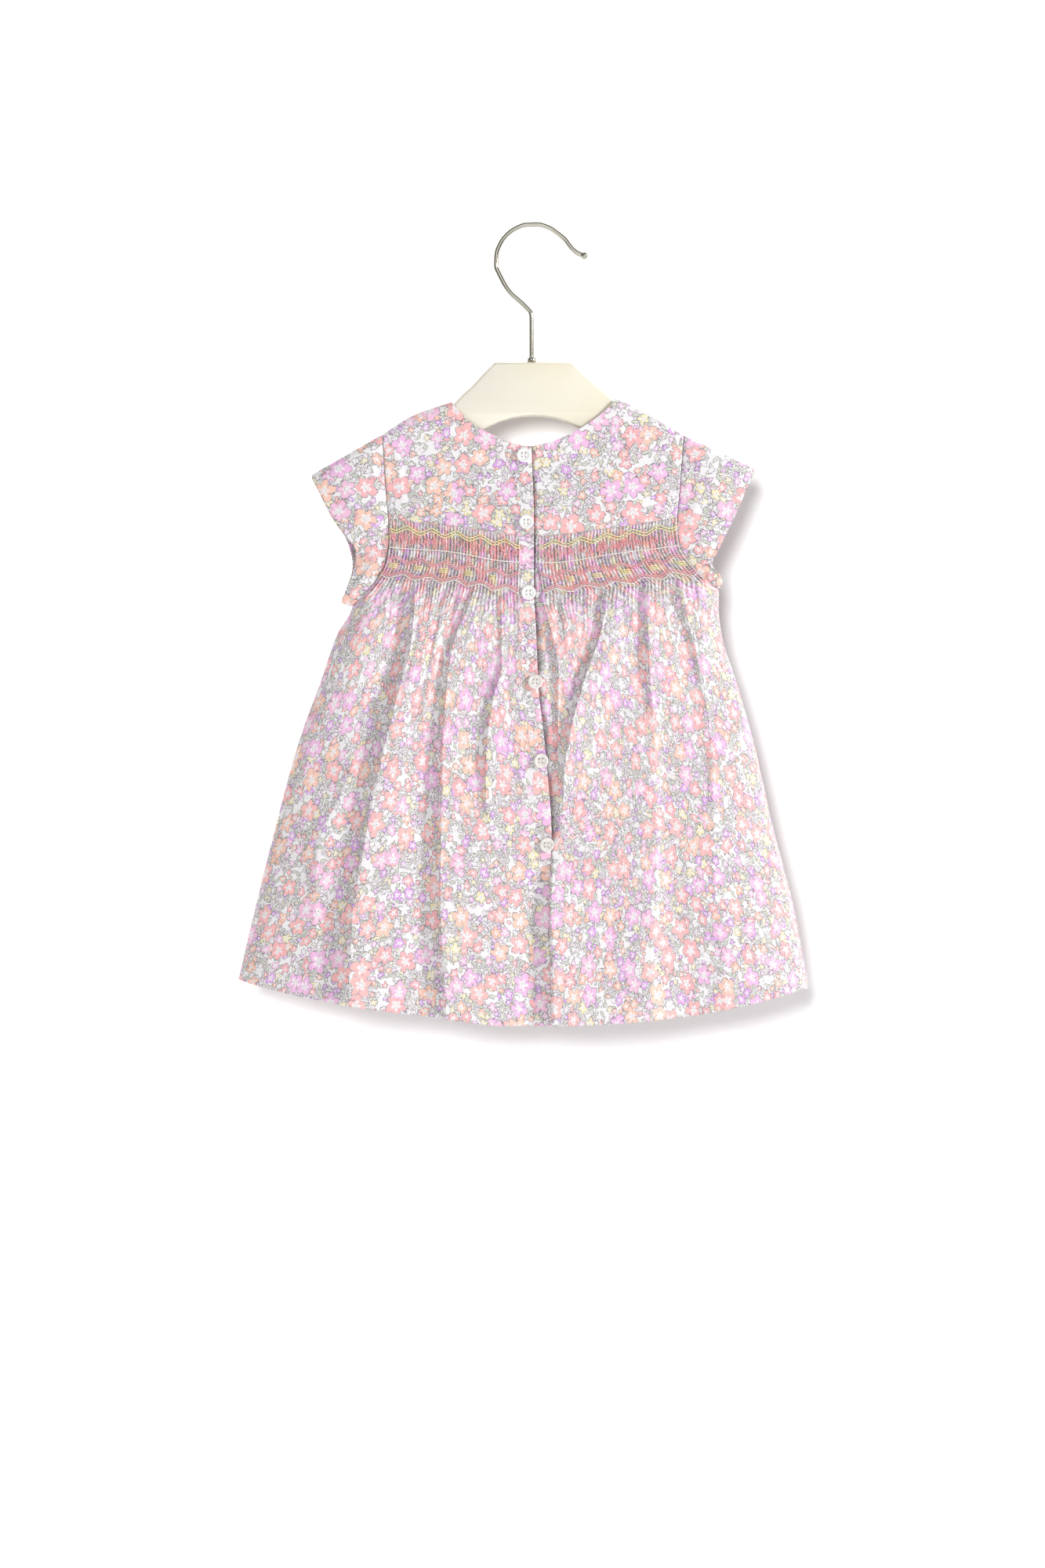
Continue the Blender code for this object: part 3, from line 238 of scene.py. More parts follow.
def flowers(tree, place, below, cell, radius, petals, hexes, shift, share):
    """One layer of flowers over the colour below, for cells and radii in metres."""
    inside, away, own, centre = cells_of(tree, place, cell, shift, 0.72)
    parts = add(tree, "ShaderNodeSeparateXYZ", Vector=inside)
    angle = calc(tree, "ARCTAN2", parts.outputs["Y"], parts.outputs["X"])
    angle = calc(tree, "MULTIPLY_ADD", own[1], 6.28, calc(tree, "ADD", angle, math.pi))
    turn = calc(tree, "MULTIPLY", angle, petals / (2 * math.pi))
    which = calc(tree, "FLOOR", calc(tree, "ADD", turn, 0.5))
    which = calc(tree, "FLOORED_MODULO", which, float(petals))
    seed = add(tree, "ShaderNodeCombineXYZ", X=which, Y=which, Z=0.0).outputs[0]
    seed = add(tree, "ShaderNodeVectorMath", {"operation": "ADD"}, i0=centre, i1=seed).outputs[0]
    petal_own = random_parts(tree, seed)
    lobe = calc(tree, "ABSOLUTE", calc(tree, "COSINE", calc(tree, "MULTIPLY", turn, math.pi)))
    ripple = calc(tree, "MULTIPLY", calc(tree, "COSINE", calc(tree, "MULTIPLY", turn, 6.3)), 0.05)
    form = calc(tree, "ADD", calc(tree, "MULTIPLY_ADD", calc(tree, "POWER", lobe, 0.5), 0.5, 0.46), ripple)
    reach = calc(tree, "MULTIPLY_ADD", petal_own[0], 0.28 * radius, 0.8 * radius)
    edge = calc(tree, "MULTIPLY", calc(tree, "MULTIPLY", reach, form), calc(tree, "MULTIPLY_ADD", own[2], 0.3, 0.8))
    apart = calc(tree, "SUBTRACT", away, edge)
    depth = calc(tree, "DIVIDE", away, edge)
    shape = between(tree, apart, 0.00006, -0.00006)
    tint = pick(tree, own[0], hexes)
    heart = between(tree, calc(tree, "ADD", depth, calc(tree, "MULTIPLY", lobe, -0.16)), 0.2, 0.42)
    tint = blend(tree, heart, colour("#FBF7F9"), tint)
    split = calc(tree, "MULTIPLY", between(tree, lobe, 0.22, 0.08), between(tree, depth, 0.5, 0.8))
    dots = between(tree, calc(tree, "COSINE", calc(tree, "MULTIPLY", turn, 12.6)), 0.1, 0.7)
    ring = between(tree, calc(tree, "ABSOLUTE", calc(tree, "SUBTRACT", depth, 0.2)), 0.09, 0.04)
    drawn = calc(tree, "MAXIMUM", calc(tree, "MULTIPLY", split, 0.6), calc(tree, "MULTIPLY", ring, dots))
    tint = blend(tree, calc(tree, "MULTIPLY", drawn, 0.75), tint, colour(INK))
    shown = calc(tree, "LESS_THAN", random_parts(tree, inside_seed(tree, centre))[2], share)
    return inked(tree, below, shape, tint, apart, shown)


def inside_seed(tree, centre):
    """Another random seed from the same cell."""
    return add(tree, "ShaderNodeVectorMath", {"operation": "ADD"}, i0=centre, i1=(7.1, 3.3, 1.7)).outputs[0]


def leaves(tree, place, below, cell, long, wide, shift, share):
    """A layer of outlined leaves, each turned its own way: long and wide are half sizes in metres."""
    inside, _, own, centre = cells_of(tree, place, cell, shift, 0.85)
    turned = add(tree, "ShaderNodeVectorRotate", {"rotation_type": "Z_AXIS"}, Vector=inside)
    tree.links.new(calc(tree, "MULTIPLY", own[1], 6.28), turned.inputs["Angle"])
    parts = add(tree, "ShaderNodeSeparateXYZ", Vector=turned.outputs[0])
    along = calc(tree, "DIVIDE", parts.outputs["X"], long)
    room = calc(tree, "SUBTRACT", 1.0, calc(tree, "MULTIPLY", along, along))
    aside = calc(tree, "ABSOLUTE", parts.outputs["Y"])
    apart = calc(tree, "MULTIPLY_ADD", room, -wide, aside)
    shape = between(tree, apart, 0.00006, -0.00006)
    rib = calc(tree, "MULTIPLY", between(tree, aside, INK_LINE * 1.4, INK_LINE * 0.4), between(tree, room, 0.2, 0.5))
    tint = blend(tree, calc(tree, "MULTIPLY", rib, 0.5), pick(tree, own[0], LEAVES), colour(INK))
    near = between(tree, room, -0.5, 0.0)
    shown = calc(tree, "MULTIPLY", calc(tree, "LESS_THAN", own[2], share), near)
    return inked(tree, below, shape, tint, apart, shown)


def buds(tree, place, below, cell, radius, shift):
    """Clusters of little round buds, where a soft noise lets them grow."""
    _, away, own, _ = cells_of(tree, place, cell, shift, 0.55)
    reach = calc(tree, "MULTIPLY_ADD", own[1], 0.4 * radius, 0.7 * radius)
    apart = calc(tree, "SUBTRACT", away, reach)
    shape = between(tree, apart, 0.00006, -0.00006)
    settings = {"noise_dimensions": "2D"}
    field = add(tree, "ShaderNodeTexNoise", settings, Vector=place, Scale=75.0, Detail=0.0).outputs[0]
    tint = pick(tree, own[0], ("#F5F1F4", "#F6E3F2", "#F9EEF0", "#F5F1F4", "#F6F0DF"))
    return inked(tree, below, shape, tint, apart, between(tree, field, 0.44, 0.5), 0.7)


def poplin():
    material, tree, shader = new_material("printed cotton poplin", "#E8D9DF", "#F0E4E8", 0.86, ior=1.53)
    cut = add(tree, "ShaderNodeUVMap", {"uv_map": "flat cut"}).outputs[0]
    settings = {"noise_dimensions": "2D"}
    wobble = add(tree, "ShaderNodeTexNoise", settings, Vector=cut, Scale=330.0, Detail=1.0)
    centred = add(tree, "ShaderNodeVectorMath", {"operation": "SUBTRACT"}, i0=wobble.outputs["Color"], i1=(0.5,) * 3)
    small = add(tree, "ShaderNodeVectorMath", {"operation": "SCALE"}, i0=centred.outputs[0], Scale=0.0026)
    place = add(tree, "ShaderNodeVectorMath", {"operation": "ADD"}, i0=cut, i1=small.outputs[0]).outputs[0]
    result = buds(tree, place, colour(GROUND), 0.0021, 0.001, (0.013, 0.007))
    result = leaves(tree, place, result, 0.0052, 0.0026, 0.0011, (0.041, 0.063), 0.8)
    result = flowers(tree, place, result, 0.0056, 0.0024, 5, SMALL, (0.031, 0.043), 0.72)
    result = flowers(tree, place, result, 0.0098, 0.0042, 5, MEDIUM, (0.017, 0.071), 0.66)
    result = flowers(tree, place, result, 0.0172, 0.0078, 5, LARGE, (0.053, 0.019), 0.72)
    tree.links.new(result, shader.inputs["Base Color"])
    parts = add(tree, "ShaderNodeSeparateXYZ", Vector=cut)
    waves = []
    for axis in ("X", "Y"):
        turn = calc(tree, "MULTIPLY", parts.outputs[axis], math.pi / THREAD_PITCH)
        waves.append(calc(tree, "ABSOLUTE", calc(tree, "SINE", turn)))
    weave = calc(tree, "MULTIPLY", waves[0], waves[1])
    bump = add(tree, "ShaderNodeBump", Height=weave, Strength=0.16, Distance=0.0001)
    tree.links.new(bump.outputs[0], shader.inputs["Normal"])
    shader.inputs["Sheen Weight"].default_value = 0.08
    shader.inputs["Sheen Roughness"].default_value = 0.5
    shader.inputs["Specular IOR Level"].default_value = 0.25
    return material


cloth = poplin()
print("print:", len(cloth.node_tree.nodes), "nodes")

# %% [markdown]
# The cloth's form repeats the sizes of the solids, in millimetres. A table gives a few places with their
# real sizes, and a smooth curve is read between them. The skirt's section is a flattened ring, and its
# halves are read row by row from the yoke seam to the hem. Folds are lines down the skirt, each with a
# steep face on one side and a soft crest behind it.

# %% Sizes of the cloth
SEAM = 0.3
SHELL = 0.6
LAP_STEP = 2.1
UNDERLAP = 15.0
PLEAT = 1.6
VALLEY = 1.1
PLEATS = 43
PLACKET = 0.09
PLAIN_UNDERLAP = 0.16
LOOP_POWER = 2.6
SMOCKED = 0.12
FLAT_HALF = 240.0

SHOULDER = (
    (52.5, -112.0, -110.0),
    (60.0, -114.5, -113.0),
    (70.0, -117.8, -118.5),
    (80.0, -122.2, -123.8),
    (96.0, -132.6, -133.4),
    (115.0, -144.3, -142.6),
    (125.0, -149.5, -146.8),
    (141.3, -158.3, -154.3),
)
BACK_NECK = (
    (-52.5, -112.0),
    (-47.5, -117.5),
    (-37.5, -127.0),
    (-25.0, -133.5),
    (-12.5, -138.8),
    (-2.0, -140.4),
    (5.0, -139.2),
    (16.0, -136.0),
    (30.0, -129.0),
    (42.5, -120.5),
    (48.5, -115.0),
    (52.5, -110.0),
)
FRONT_NECK = (
    (-52.5, -112.0),
    (-48.5, -120.5),
    (-38.0, -134.0),
    (-22.0, -146.5),
    (0.0, -152.0),
    (22.0, -146.0),
    (38.0, -133.0),
    (48.5, -119.0),
    (52.5, -110.0),
)
YOKE_SEAM = ((-94.0, -187.0), (-50.0, -191.5), (0.0, -198.0), (50.0, -192.5), (94.0, -185.5))
SMOCKING_END = ((-94.0, -226.0), (-50.0, -228.5), (0.0, -233.0), (50.0, -228.0), (94.0, -223.5))
HEM = (
    (-190.0, -479.5),
    (-165.0, -486.5),
    (-115.0, -496.5),
    (-60.0, -503.5),
    (-20.0, -508.5),
    (20.0, -508.5),
    (85.0, -504.5),
    (130.0, -497.0),
    (177.0, -485.0),
)
ARMHOLES = {
    -1: (
        (-132.6, -96.0),
        (-166.0, -94.0),
        (-197.0, -91.6),
        (-215.5, -94.0),
        (-222.0, -97.5),
        (-232.0, -104.5),
        (-243.0, -115.8),
    ),
    1: (
        (-133.4, 96.0),
        (-166.0, 93.5),
        (-190.0, 91.8),
        (-204.0, 93.5),
        (-213.0, 98.5),
        (-222.0, 106.5),
        (-231.5, 117.8),
    ),
}
SIDES = (
    (-180.0, -119.5, 119.0, 10.6),
    (-243.0, -115.8, 118.3, 12.5),
    (-260.0, -125.0, 120.3, 14.0),
    (-290.0, -135.5, 129.6, 17.0),
    (-330.0, -150.0, 141.0, 20.5),
    (-385.0, -165.0, 153.5, 24.0),
    (-435.0, -177.5, 166.5, 26.5),
    (-490.0, -190.5, 176.5, 28.5),
)
OPENING = (
    (-140.0, -0.9),
    (-192.0, 0.7),
    (-228.0, 0.6),
    (-257.0, 2.0),
    (-295.0, 3.6),
    (-320.0, 6.4),
    (-346.0, 9.0),
    (-388.0, 11.8),
    (-430.0, 9.9),
    (-500.0, 11.2),
)
OPENING_END = -398.0
# Button centres: x, z
BUTTONS = ((-5.9, -146.2), (-4.4, -188.8), (-3.0, -233.9), (1.3, -290.5), (5.0, -340.8), (8.6, -394.0))
OPENING_TAPER = 20.0


def smooth_value(places, values, at):
    """A smooth curve through the values, which never swings past them."""
    order = np.argsort(places)
    x = np.asarray(places, float)[order]
    y = np.asarray(values, float)[order]
    at = np.clip(at, x[0], x[-1])
    steps = np.diff(x)
    slopes = np.diff(y) / steps
    tangents = np.concatenate([slopes[:1], np.zeros(len(x) - 2), slopes[-1:]])
    before, after = slopes[:-1], slopes[1:]
    steady = before * after > 0
    total = np.where(steady, before + after, 1.0)
    tangents[1:-1] = np.where(steady, 2 * before * after / total, 0.0)
    i = np.clip(np.searchsorted(x, at, side="right") - 1, 0, len(steps) - 1)
    share = (at - x[i]) / steps[i]
    rest = 1 - share
    ends = y[i] * rest * rest * (1 + 2 * share) + y[i + 1] * share * share * (1 + 2 * rest)
    return ends + steps[i] * share * rest * (rest * tangents[i] - share * tangents[i + 1])


def column(table, at, number=1):
    """The value of a table's column at a place of its first column."""
    return smooth_value([row[0] for row in table], [row[number] for row in table], at)


def ease(share):
    share = np.clip(share, 0.0, 1.0)
    return share * share * (3 - 2 * share)


print("half of the hem is", round(float(column(SIDES, -490, 2)), 1), "mm wide")

# %% [markdown]
# Each fold of the skirt is set from what the picture shows: how far down it lies, the line of
# its edge, the width of its steep face, and its depth. The hidden front gets folds of the same kind. The
# steep face hangs from the fold's edge, so it is steepest just below it, which gives the sharp edge and
# the soft shadow beside it.

# %% The folds
# side 1: the steep face is left of the edge. Rows: z, x of the edge, width of the face, depth
BACK_FOLDS = {
    "side left": (1, (
        (-238.0, -109.0, 6.0, 3.0),
        (-255.5, -116.0, 8.0, 5.0),
        (-286.5, -128.5, 7.0, 4.0),
        (-330.0, -142.0, 5.0, 0.0),
        (-500.0, -170.0, 5.0, 0.0),
    )),
    "deep left": (1, (
        (-228.0, -74.0, 2.5, 3.0),
        (-262.0, -76.5, 4.0, 6.0),
        (-305.0, -87.0, 7.5, 9.0),
        (-355.0, -99.0, 6.0, 8.0),
        (-405.0, -108.0, 7.0, 9.0),
        (-440.0, -113.5, 9.5, 10.0),
        (-500.0, -116.5, 10.5, 10.5),
    )),
    "soft left": (1, (
        (-315.0, -104.0, 10.0, 0.0),
        (-358.0, -120.0, 12.0, 3.5),
        (-397.0, -136.0, 12.0, 4.0),
        (-500.0, -142.0, 14.0, 3.5),
    )),
    "mid left": (1, (
        (-230.5, -37.5, 1.8, 2.0),
        (-275.5, -52.5, 3.5, 4.5),
        (-330.5, -57.0, 5.5, 7.0),
        (-420.5, -58.5, 6.5, 7.5),
        (-500.5, -55.0, 8.0, 8.0),
    )),
    "short left": (1, (
        (-228.0, -19.5, 1.8, 2.5),
        (-278.0, -19.5, 2.8, 3.5),
        (-300.5, -25.0, 4.5, 5.0),
        (-335.0, -29.5, 4.5, 5.0),
        (-362.0, -30.0, 4.0, 3.0),
        (-388.0, -27.0, 4.0, 0.0),
    )),
    "under the lap": (1, (
        (-240.5, 4.5, 2.0, 1.5),
        (-260.5, 11.5, 2.5, 3.0),
        (-285.0, 15.8, 3.8, 5.0),
        (-338.0, 15.5, 4.2, 5.5),
        (-370.0, 16.0, 4.0, 4.5),
        (-396.0, 16.0, 4.0, 0.0),
    )),
    "centre": (1, (
        (-399.0, 13.0, 4.0, 0.0),
        (-414.0, 12.0, 4.5, 6.0),
        (-430.0, 11.0, 5.0, 8.0),
        (-465.0, 12.2, 6.5, 8.5),
        (-505.0, 13.0, 7.0, 8.5),
    )),
    "slanting right": (1, (
        (-230.5, 47.5, 1.8, 2.0),
        (-254.5, 44.0, 2.8, 4.0),
        (-290.5, 32.0, 4.5, 6.5),
        (-323.0, 23.5, 5.0, 6.5),
        (-350.0, 19.5, 4.0, 4.0),
        (-378.0, 19.0, 4.0, 0.0),
        (-500.0, 30.0, 4.0, 0.0),
    )),
    "upper right": (1, (
        (-228.0, 71.5, 2.2, 3.0),
        (-280.5, 73.5, 4.2, 5.0),
        (-300.5, 75.0, 4.0, 3.5),
        (-318.0, 76.0, 4.0, 0.0),
    )),
    "lower right": (-1, (
        (-296.0, 75.5, 3.0, 0.0),
        (-330.5, 77.0, 4.0, 4.5),
        (-415.5, 78.0, 5.5, 5.5),
        (-455.5, 75.5, 9.0, 6.5),
        (-505.0, 74.0, 11.0, 6.0),
    )),
    "side right": (1, (
        (-232.0, 93.0, 2.4, 3.0),
        (-256.0, 99.0, 3.0, 3.8),
        (-290.5, 106.5, 3.0, 2.5),
        (-318.0, 111.0, 4.0, 0.0),
    )),
    "soft right": (1, (
        (-300.0, 109.0, 8.0, 0.0),
        (-340.0, 114.0, 9.0, 3.0),
        (-400.0, 114.0, 10.0, 1.5),
        (-505.0, 124.0, 14.0, 3.0),
    )),
}
FRONT_FOLDS = {
    "first": (1, (
        (-228.0, -66.0, 2.4, 2.5),
        (-290.0, -82.0, 5.0, 6.0),
        (-380.0, -104.0, 7.0, 8.0),
        (-505.0, -128.0, 9.0, 8.5),
    )),
    "second": (-1, (
        (-229.0, -30.0, 2.2, 2.5),
        (-300.0, -36.0, 4.5, 6.0),
        (-400.0, -47.0, 7.0, 7.5),
        (-505.0, -52.0, 9.0, 7.5),
    )),
    "third": (1, (
        (-233.0, 4.0, 2.0, 2.0),
        (-300.0, 8.0, 4.0, 5.0),
        (-380.0, 14.0, 5.5, 5.5),
        (-430.0, 16.0, 6.0, 0.0),
    )),
    "fourth": (1, (
        (-229.0, 42.0, 2.2, 2.5),
        (-310.0, 52.0, 5.0, 6.5),
        (-410.0, 62.0, 7.5, 8.0),
        (-505.0, 66.0, 9.0, 8.5),
    )),
    "fifth": (-1, (
        (-227.0, 80.0, 2.2, 2.5),
        (-300.0, 98.0, 5.0, 5.5),
        (-400.0, 116.0, 7.0, 6.5),
        (-505.0, 132.0, 9.0, 6.5),
    )),
}
# Gathers that run out of the smocking: x at its edge, x and z where each ends, depth
BACK_GATHERS = (
    (-97.0, -102.0, -272.0, 1.2),
    (-89.5, -96.0, -292.0, 2.2),
    (-84.5, -93.0, -318.0, 2.6),
    (-66.0, -76.0, -272.0, 2.2),
    (-54.0, -70.0, -264.0, 1.8),
    (-47.5, -55.0, -272.0, 1.8),
    (-34.0, -34.0, -256.0, 1.4),
    (-27.0, -29.5, -252.0, 1.2),
    (-14.5, -14.5, -254.0, 1.4),
    (-7.5, -8.0, -270.0, 1.8),
    (16.5, 15.5, -282.0, 2.2),
    (24.0, 22.0, -252.0, 1.2),
    (32.5, 29.0, -292.0, 1.8),
    (41.0, 42.5, -254.0, 1.6),
    (55.0, 60.5, -292.0, 1.9),
    (65.0, 66.5, -252.0, 1.2),
    (81.0, 86.0, -256.0, 1.2),
    (87.0, 90.0, -266.0, 1.2),
)
FRONT_GATHERS = tuple(
    (x, 1.12 * x, -262.0 - 9 * math.sin(x), 1.6 + 0.5 * math.sin(2 * x)) for x in range(-78, 79, 8)
)
GUIDES = {
    "left": ("side left", "soft left", "deep left", "mid left", "short left"),
    "right": ("under the lap", "slanting right", "lower right", "side right", "soft right"),
    "front": ("first", "second", "third", "fourth", "fifth"),
}


def fold_lift(folds, x, z):
    """How far the folds raise or sink the cloth: a steep face with a soft crest behind it."""
    lift = np.zeros(np.broadcast(x, z).shape)
    for side, rows in folds.values():
        edge, face, depth = (column(rows, z, number) for number in (1, 2, 3))
        beyond = (x - edge) * side
        face = face * 2.0
        steep = np.clip(beyond / face + 1, 0, 1) ** 3.0 - 0.45
        crest = 0.55 * np.exp(-np.clip(beyond / (1.1 * face + 9), 0, None) ** 1.4)
        below = np.exp(-np.clip(-(beyond + face) / (0.6 * face + 5), 0, None) ** 1.4)
        lift = lift + depth * np.where(beyond > 0, crest, np.where(beyond < -face, -0.45 * below, steep))
    return lift


def gather_lift(gathers, x, z):
    """The narrow troughs below the smocking."""
    lift = np.zeros(np.broadcast(x, z).shape)
    for top_x, low_x, low_z, depth in gathers:
        top_z = column(SMOCKING_END, top_x)
        share = np.clip((top_z - z) / (top_z - low_z), 0.0, 1.0)
        middle = top_x + (low_x - top_x) * share
        width = 1.5 * (1 + 1.3 * share)
        lift = lift - depth * (1 - ease(share)) * np.exp(-(np.abs((x - middle) / width) ** 1.6))
    return lift


def skirt_lift(face, x, z):
    """Folds and gathers together, none in the smocking, at the side seams or where the panels lap."""
    folds, gathers = (BACK_FOLDS, BACK_GATHERS) if face == "back" else (FRONT_FOLDS, FRONT_GATHERS)
    free = ease((column(SMOCKING_END, x) + 2 - z) / 9)
    half_width = np.where(x < 0, -column(SIDES, z, 1), column(SIDES, z, 2))
    free = free * (1 - np.clip(np.abs(x) / half_width, 0, 1) ** 14)
    if face == "back":
        beside = x - column(OPENING, z)
        left_part = ease((beside + 25) / 5)
        right_part = ease((8 - beside) / 5)
        free = free * (1 - left_part * right_part * ease((z - OPENING_END) / 34))
    return (fold_lift(folds, x, z) + gather_lift(gathers, x, z)) * free


print("folds:", len(BACK_FOLDS), "behind the wearer and", len(FRONT_FOLDS), "in front")

# %% [markdown]
# Rows of the skirt are cut from the flattened ring: from an armhole or a side seam to the opening. The
# columns of the cloth's grid follow the fold lines, as the threads of real cloth do, so a fold's edge
# runs along a column and stays crisp, and the print bends with it.

# %% Rows of the skirt


def skirt_line(share, facing):
    """One row of the whole back (facing -1) or front (1): base points and their outward directions."""
    turn = np.linspace(-1, 1, 1201) * math.pi / 2
    across = np.sign(turn) * np.abs(np.sin(turn)) ** (2 / LOOP_POWER)
    x = across * SIDES[0][2]
    for _ in range(8):
        z = column(YOKE_SEAM, x) * (1 - share) + column(HEM, x) * share
        x = across * np.where(across < 0, -column(SIDES, z, 1), column(SIDES, z, 2))
    y = facing * (SEAM / 2 + column(SIDES, z, 3) * np.abs(np.cos(turn)) ** (2 / LOOP_POWER))
    along_x, along_y = np.gradient(x), np.gradient(y)
    length = np.hypot(along_x, along_y)
    outward = np.stack([-facing * along_y, facing * along_x], 1) / length[:, None]
    return np.stack([x, y, z], 1), outward


def crossing(values):
    """The first place, with its fraction, where the values turn from below 0 to above."""
    found = np.nonzero((values[:-1] < 0) & (values[1:] >= 0))[0]
    if not len(found):
        return 0.0
    i = found[0]
    return i + values[i] / (values[i] - values[i + 1])


def row_ends(points, panel):
    """Where a panel's row starts and ends, from the left armhole or side to the right one."""
    x, z = points[:, 0], points[:, 2]
    left = crossing(x - column(ARMHOLES[-1], z) - SEAM / 2) if z[0] > ARMHOLES[-1][-1][0] else 0.0
    right = len(x) - 1.0
    if z[-1] > ARMHOLES[1][-1][0]:
        right -= crossing((column(ARMHOLES[1], z) - SEAM / 2 - x)[::-1])
    edge = x - column(OPENING, z)
    if panel == "left":
        right = crossing(edge + SEAM / 2)
    if panel == "right":
        lap = UNDERLAP * ease((z - OPENING_END) / OPENING_TAPER)
        left = crossing(edge + lap - SEAM / 2)
    return left, right


def guide_marks(line, panel, run, first, last):
    """Where the panel's guiding folds cross a row, as shares of its length, in order."""
    folds = FRONT_FOLDS if panel == "front" else BACK_FOLDS
    marks = []
    for name in GUIDES[panel]:
        place = crossing(line[:, 0] - column(folds[name][1], line[:, 2]))
        mark = (np.interp(place, np.arange(len(run)), run) - first) / (last - first)
        marks.append(mark)
    low = np.arange(1, len(marks) + 1) * 0.02
    marks = np.maximum(np.maximum.accumulate(marks + low), low * 2) - low
    return np.minimum(marks, 1 - low[::-1])


def skirt_row(panel, share, columns, reference):
    """Base points and outward directions of one row, and how far along it each column lies, in mm."""
    line, outward = skirt_line(share, 1 if panel == "front" else -1)
    steps = np.linalg.norm(np.diff(line, axis=0), axis=1)
    run = np.concatenate([[0], np.cumsum(steps)])
    first, last = np.interp(row_ends(line, panel), np.arange(len(line)), run)
    marks = guide_marks(line, panel, run, first, last)
    if share <= SMOCKED:
        marks = reference
    bends = np.interp(columns, [0, *reference, 1], [0, *marks, 1])
    at = first + (last - first) * bends
    read = [np.interp(at, run, values) for values in (*line.T, *outward.T)]
    return np.stack(read[:3], 1), np.stack(read[3:], 1), (at - first, last - first)


def reference_marks(panel):
    line, _ = skirt_line(SMOCKED, 1 if panel == "front" else -1)
    run = np.concatenate([[0], np.cumsum(np.linalg.norm(np.diff(line, axis=0), axis=1))])
    first, last = np.interp(row_ends(line, panel), np.arange(len(line)), run)
    return guide_marks(line, panel, run, first, last)


for panel_name in GUIDES:
    print(panel_name, "guides at", [round(float(mark), 2) for mark in reference_marks(panel_name)])

# %% [markdown]
# Smocking gathers a wide piece of cloth into narrow pleats and holds them with embroidery. Below the
# last stitches the pleats run out, some soon and some far down the skirt. The smocked rows here are
# raised into rounded pleats, and three waves of falling depth carry them on below, each pleat with its
# own strength from a fixed seed, so that no two are alike. Small wrinkles come from a soft noise.

# %% The skirt's shells
PLEAT_SAMPLES = {"left": 6, "right": 6, "front": 4}
ROWS_BELOW = {"left": 112, "right": 112, "front": 92}
random = np.random.default_rng(11)
STRENGTHS = random.uniform(0.1, 1.0, (3, 200))


def soft_noise(x, z, size_x, size_z, seed):
    """Smooth bumps of about the given sizes, from -1 to 1."""
    table = np.random.default_rng(seed).uniform(-1, 1, (64, 64))
    u, v = np.asarray(x) / size_x, np.asarray(z) / size_z
    i, j = np.floor(u).astype(int), np.floor(v).astype(int)
    s, t = ease(u - i), ease(v - j)
    corner = [table[(i + a) % 64, (j + b) % 64] for a, b in ((0, 0), (1, 0), (0, 1), (1, 1))]
    return (corner[0] * (1 - s) + corner[1] * s) * (1 - t) + (corner[2] * (1 - s) + corner[3] * s) * t


def pleat_numbers(panel, columns):
    """Which pleat each column lies on, counted from the armhole, and how far it is in the pleats."""
    count = 2 * PLEATS - 1 if panel == "front" else PLEATS
    plain = {"front": 0.0, "left": PLACKET, "right": PLAIN_UNDERLAP}[panel]
    share = 1 - columns if panel == "left" else columns
    number = (share - plain) / (1 - plain) * count
    return number, (number >= -1e-6) & (number <= count + 1e-6), count


def ridge(number):
    return np.abs(np.sin(math.pi * number)) ** 0.75


def pleat_lift(panel, columns, share, below):
    """The pleats' height over the plain cloth, in the smocking and running out below it."""
    number, pleated, _ = pleat_numbers(panel, columns)
    sway = soft_noise(number, np.full_like(number, share), 2.3, 0.016, 31)
    number = number + 0.2 * sway * ease(share / 0.01)
    if share <= SMOCKED + 1e-9:
        start = float(ease((share + 0.002) / 0.02))
        return np.where(pleated, (ridge(number) * (PLEAT + VALLEY) - VALLEY) * start, 0.0)
    lift = (ridge(number) * (PLEAT + VALLEY) - VALLEY) * np.exp(-((below / 10) ** 1.3))
    for wave, (every, height, rise, fall) in enumerate(((2, 2.0, 4, 26), (4, 2.8, 10, 60), (7, 2.2, 26, 95))):
        place = number / every + 0.37 * wave
        own = STRENGTHS[wave][np.floor(place).astype(int) % 200]
        lift = lift + ridge(place) * own * height * (1 - np.exp(-below / rise)) * np.exp(-below / (fall * own))
    return np.where(pleated, lift, 0.0)


def flat_across(panel, along, length, z):
    """The place of each column on the flat cut, in millimetres. The placket isn't gathered."""
    if panel == "front":
        return along / length * 2 * FLAT_HALF
    if panel == "right":
        lap = UNDERLAP * ease((z - OPENING_END) / OPENING_TAPER)
        along, length = along - lap, length - lap
    else:
        along = length - along
    plain = 9.0 if panel == "left" else 3.0
    gathered = plain + (along - plain) / (length - plain) * (FLAT_HALF - plain)
    place = np.where(along < plain, along, gathered)
    return FLAT_HALF - place if panel == "left" else place


def skirt_columns(panel):
    """Columns of the grid: the same number on every pleat, and more beside each guiding fold."""
    _, _, count = pleat_numbers(panel, np.zeros(1))
    plain = {"front": 0.0, "left": PLACKET, "right": PLAIN_UNDERLAP}[panel]
    pleated = plain + (1 - plain) * np.linspace(0, 1, count * PLEAT_SAMPLES[panel] + 1)
    columns = np.concatenate([np.linspace(0, plain, 12)[:-1] if plain else [], pleated])
    columns = 1 - columns if panel == "left" else columns
    extra = [mark + step for mark in reference_marks(panel) for step in (-0.008, -0.004, -0.0015, 0.0, 0.003)]
    return np.unique(np.round(np.concatenate([columns, np.clip(extra, 0, 1)]), 6))


def groove_width(z):
    """How wide the opening gapes beside the over panel: pinned at the buttons, free between them."""
    free = np.ones(np.shape(z))
    for _, place in BUTTONS:
        free = free * (1 - np.exp(-(((z - place) / 9) ** 2)))
    return 0.2 + (0.25 + 1.0 * ease((-226 - z) / 40)) * free * ease((z - OPENING_END) / 14)


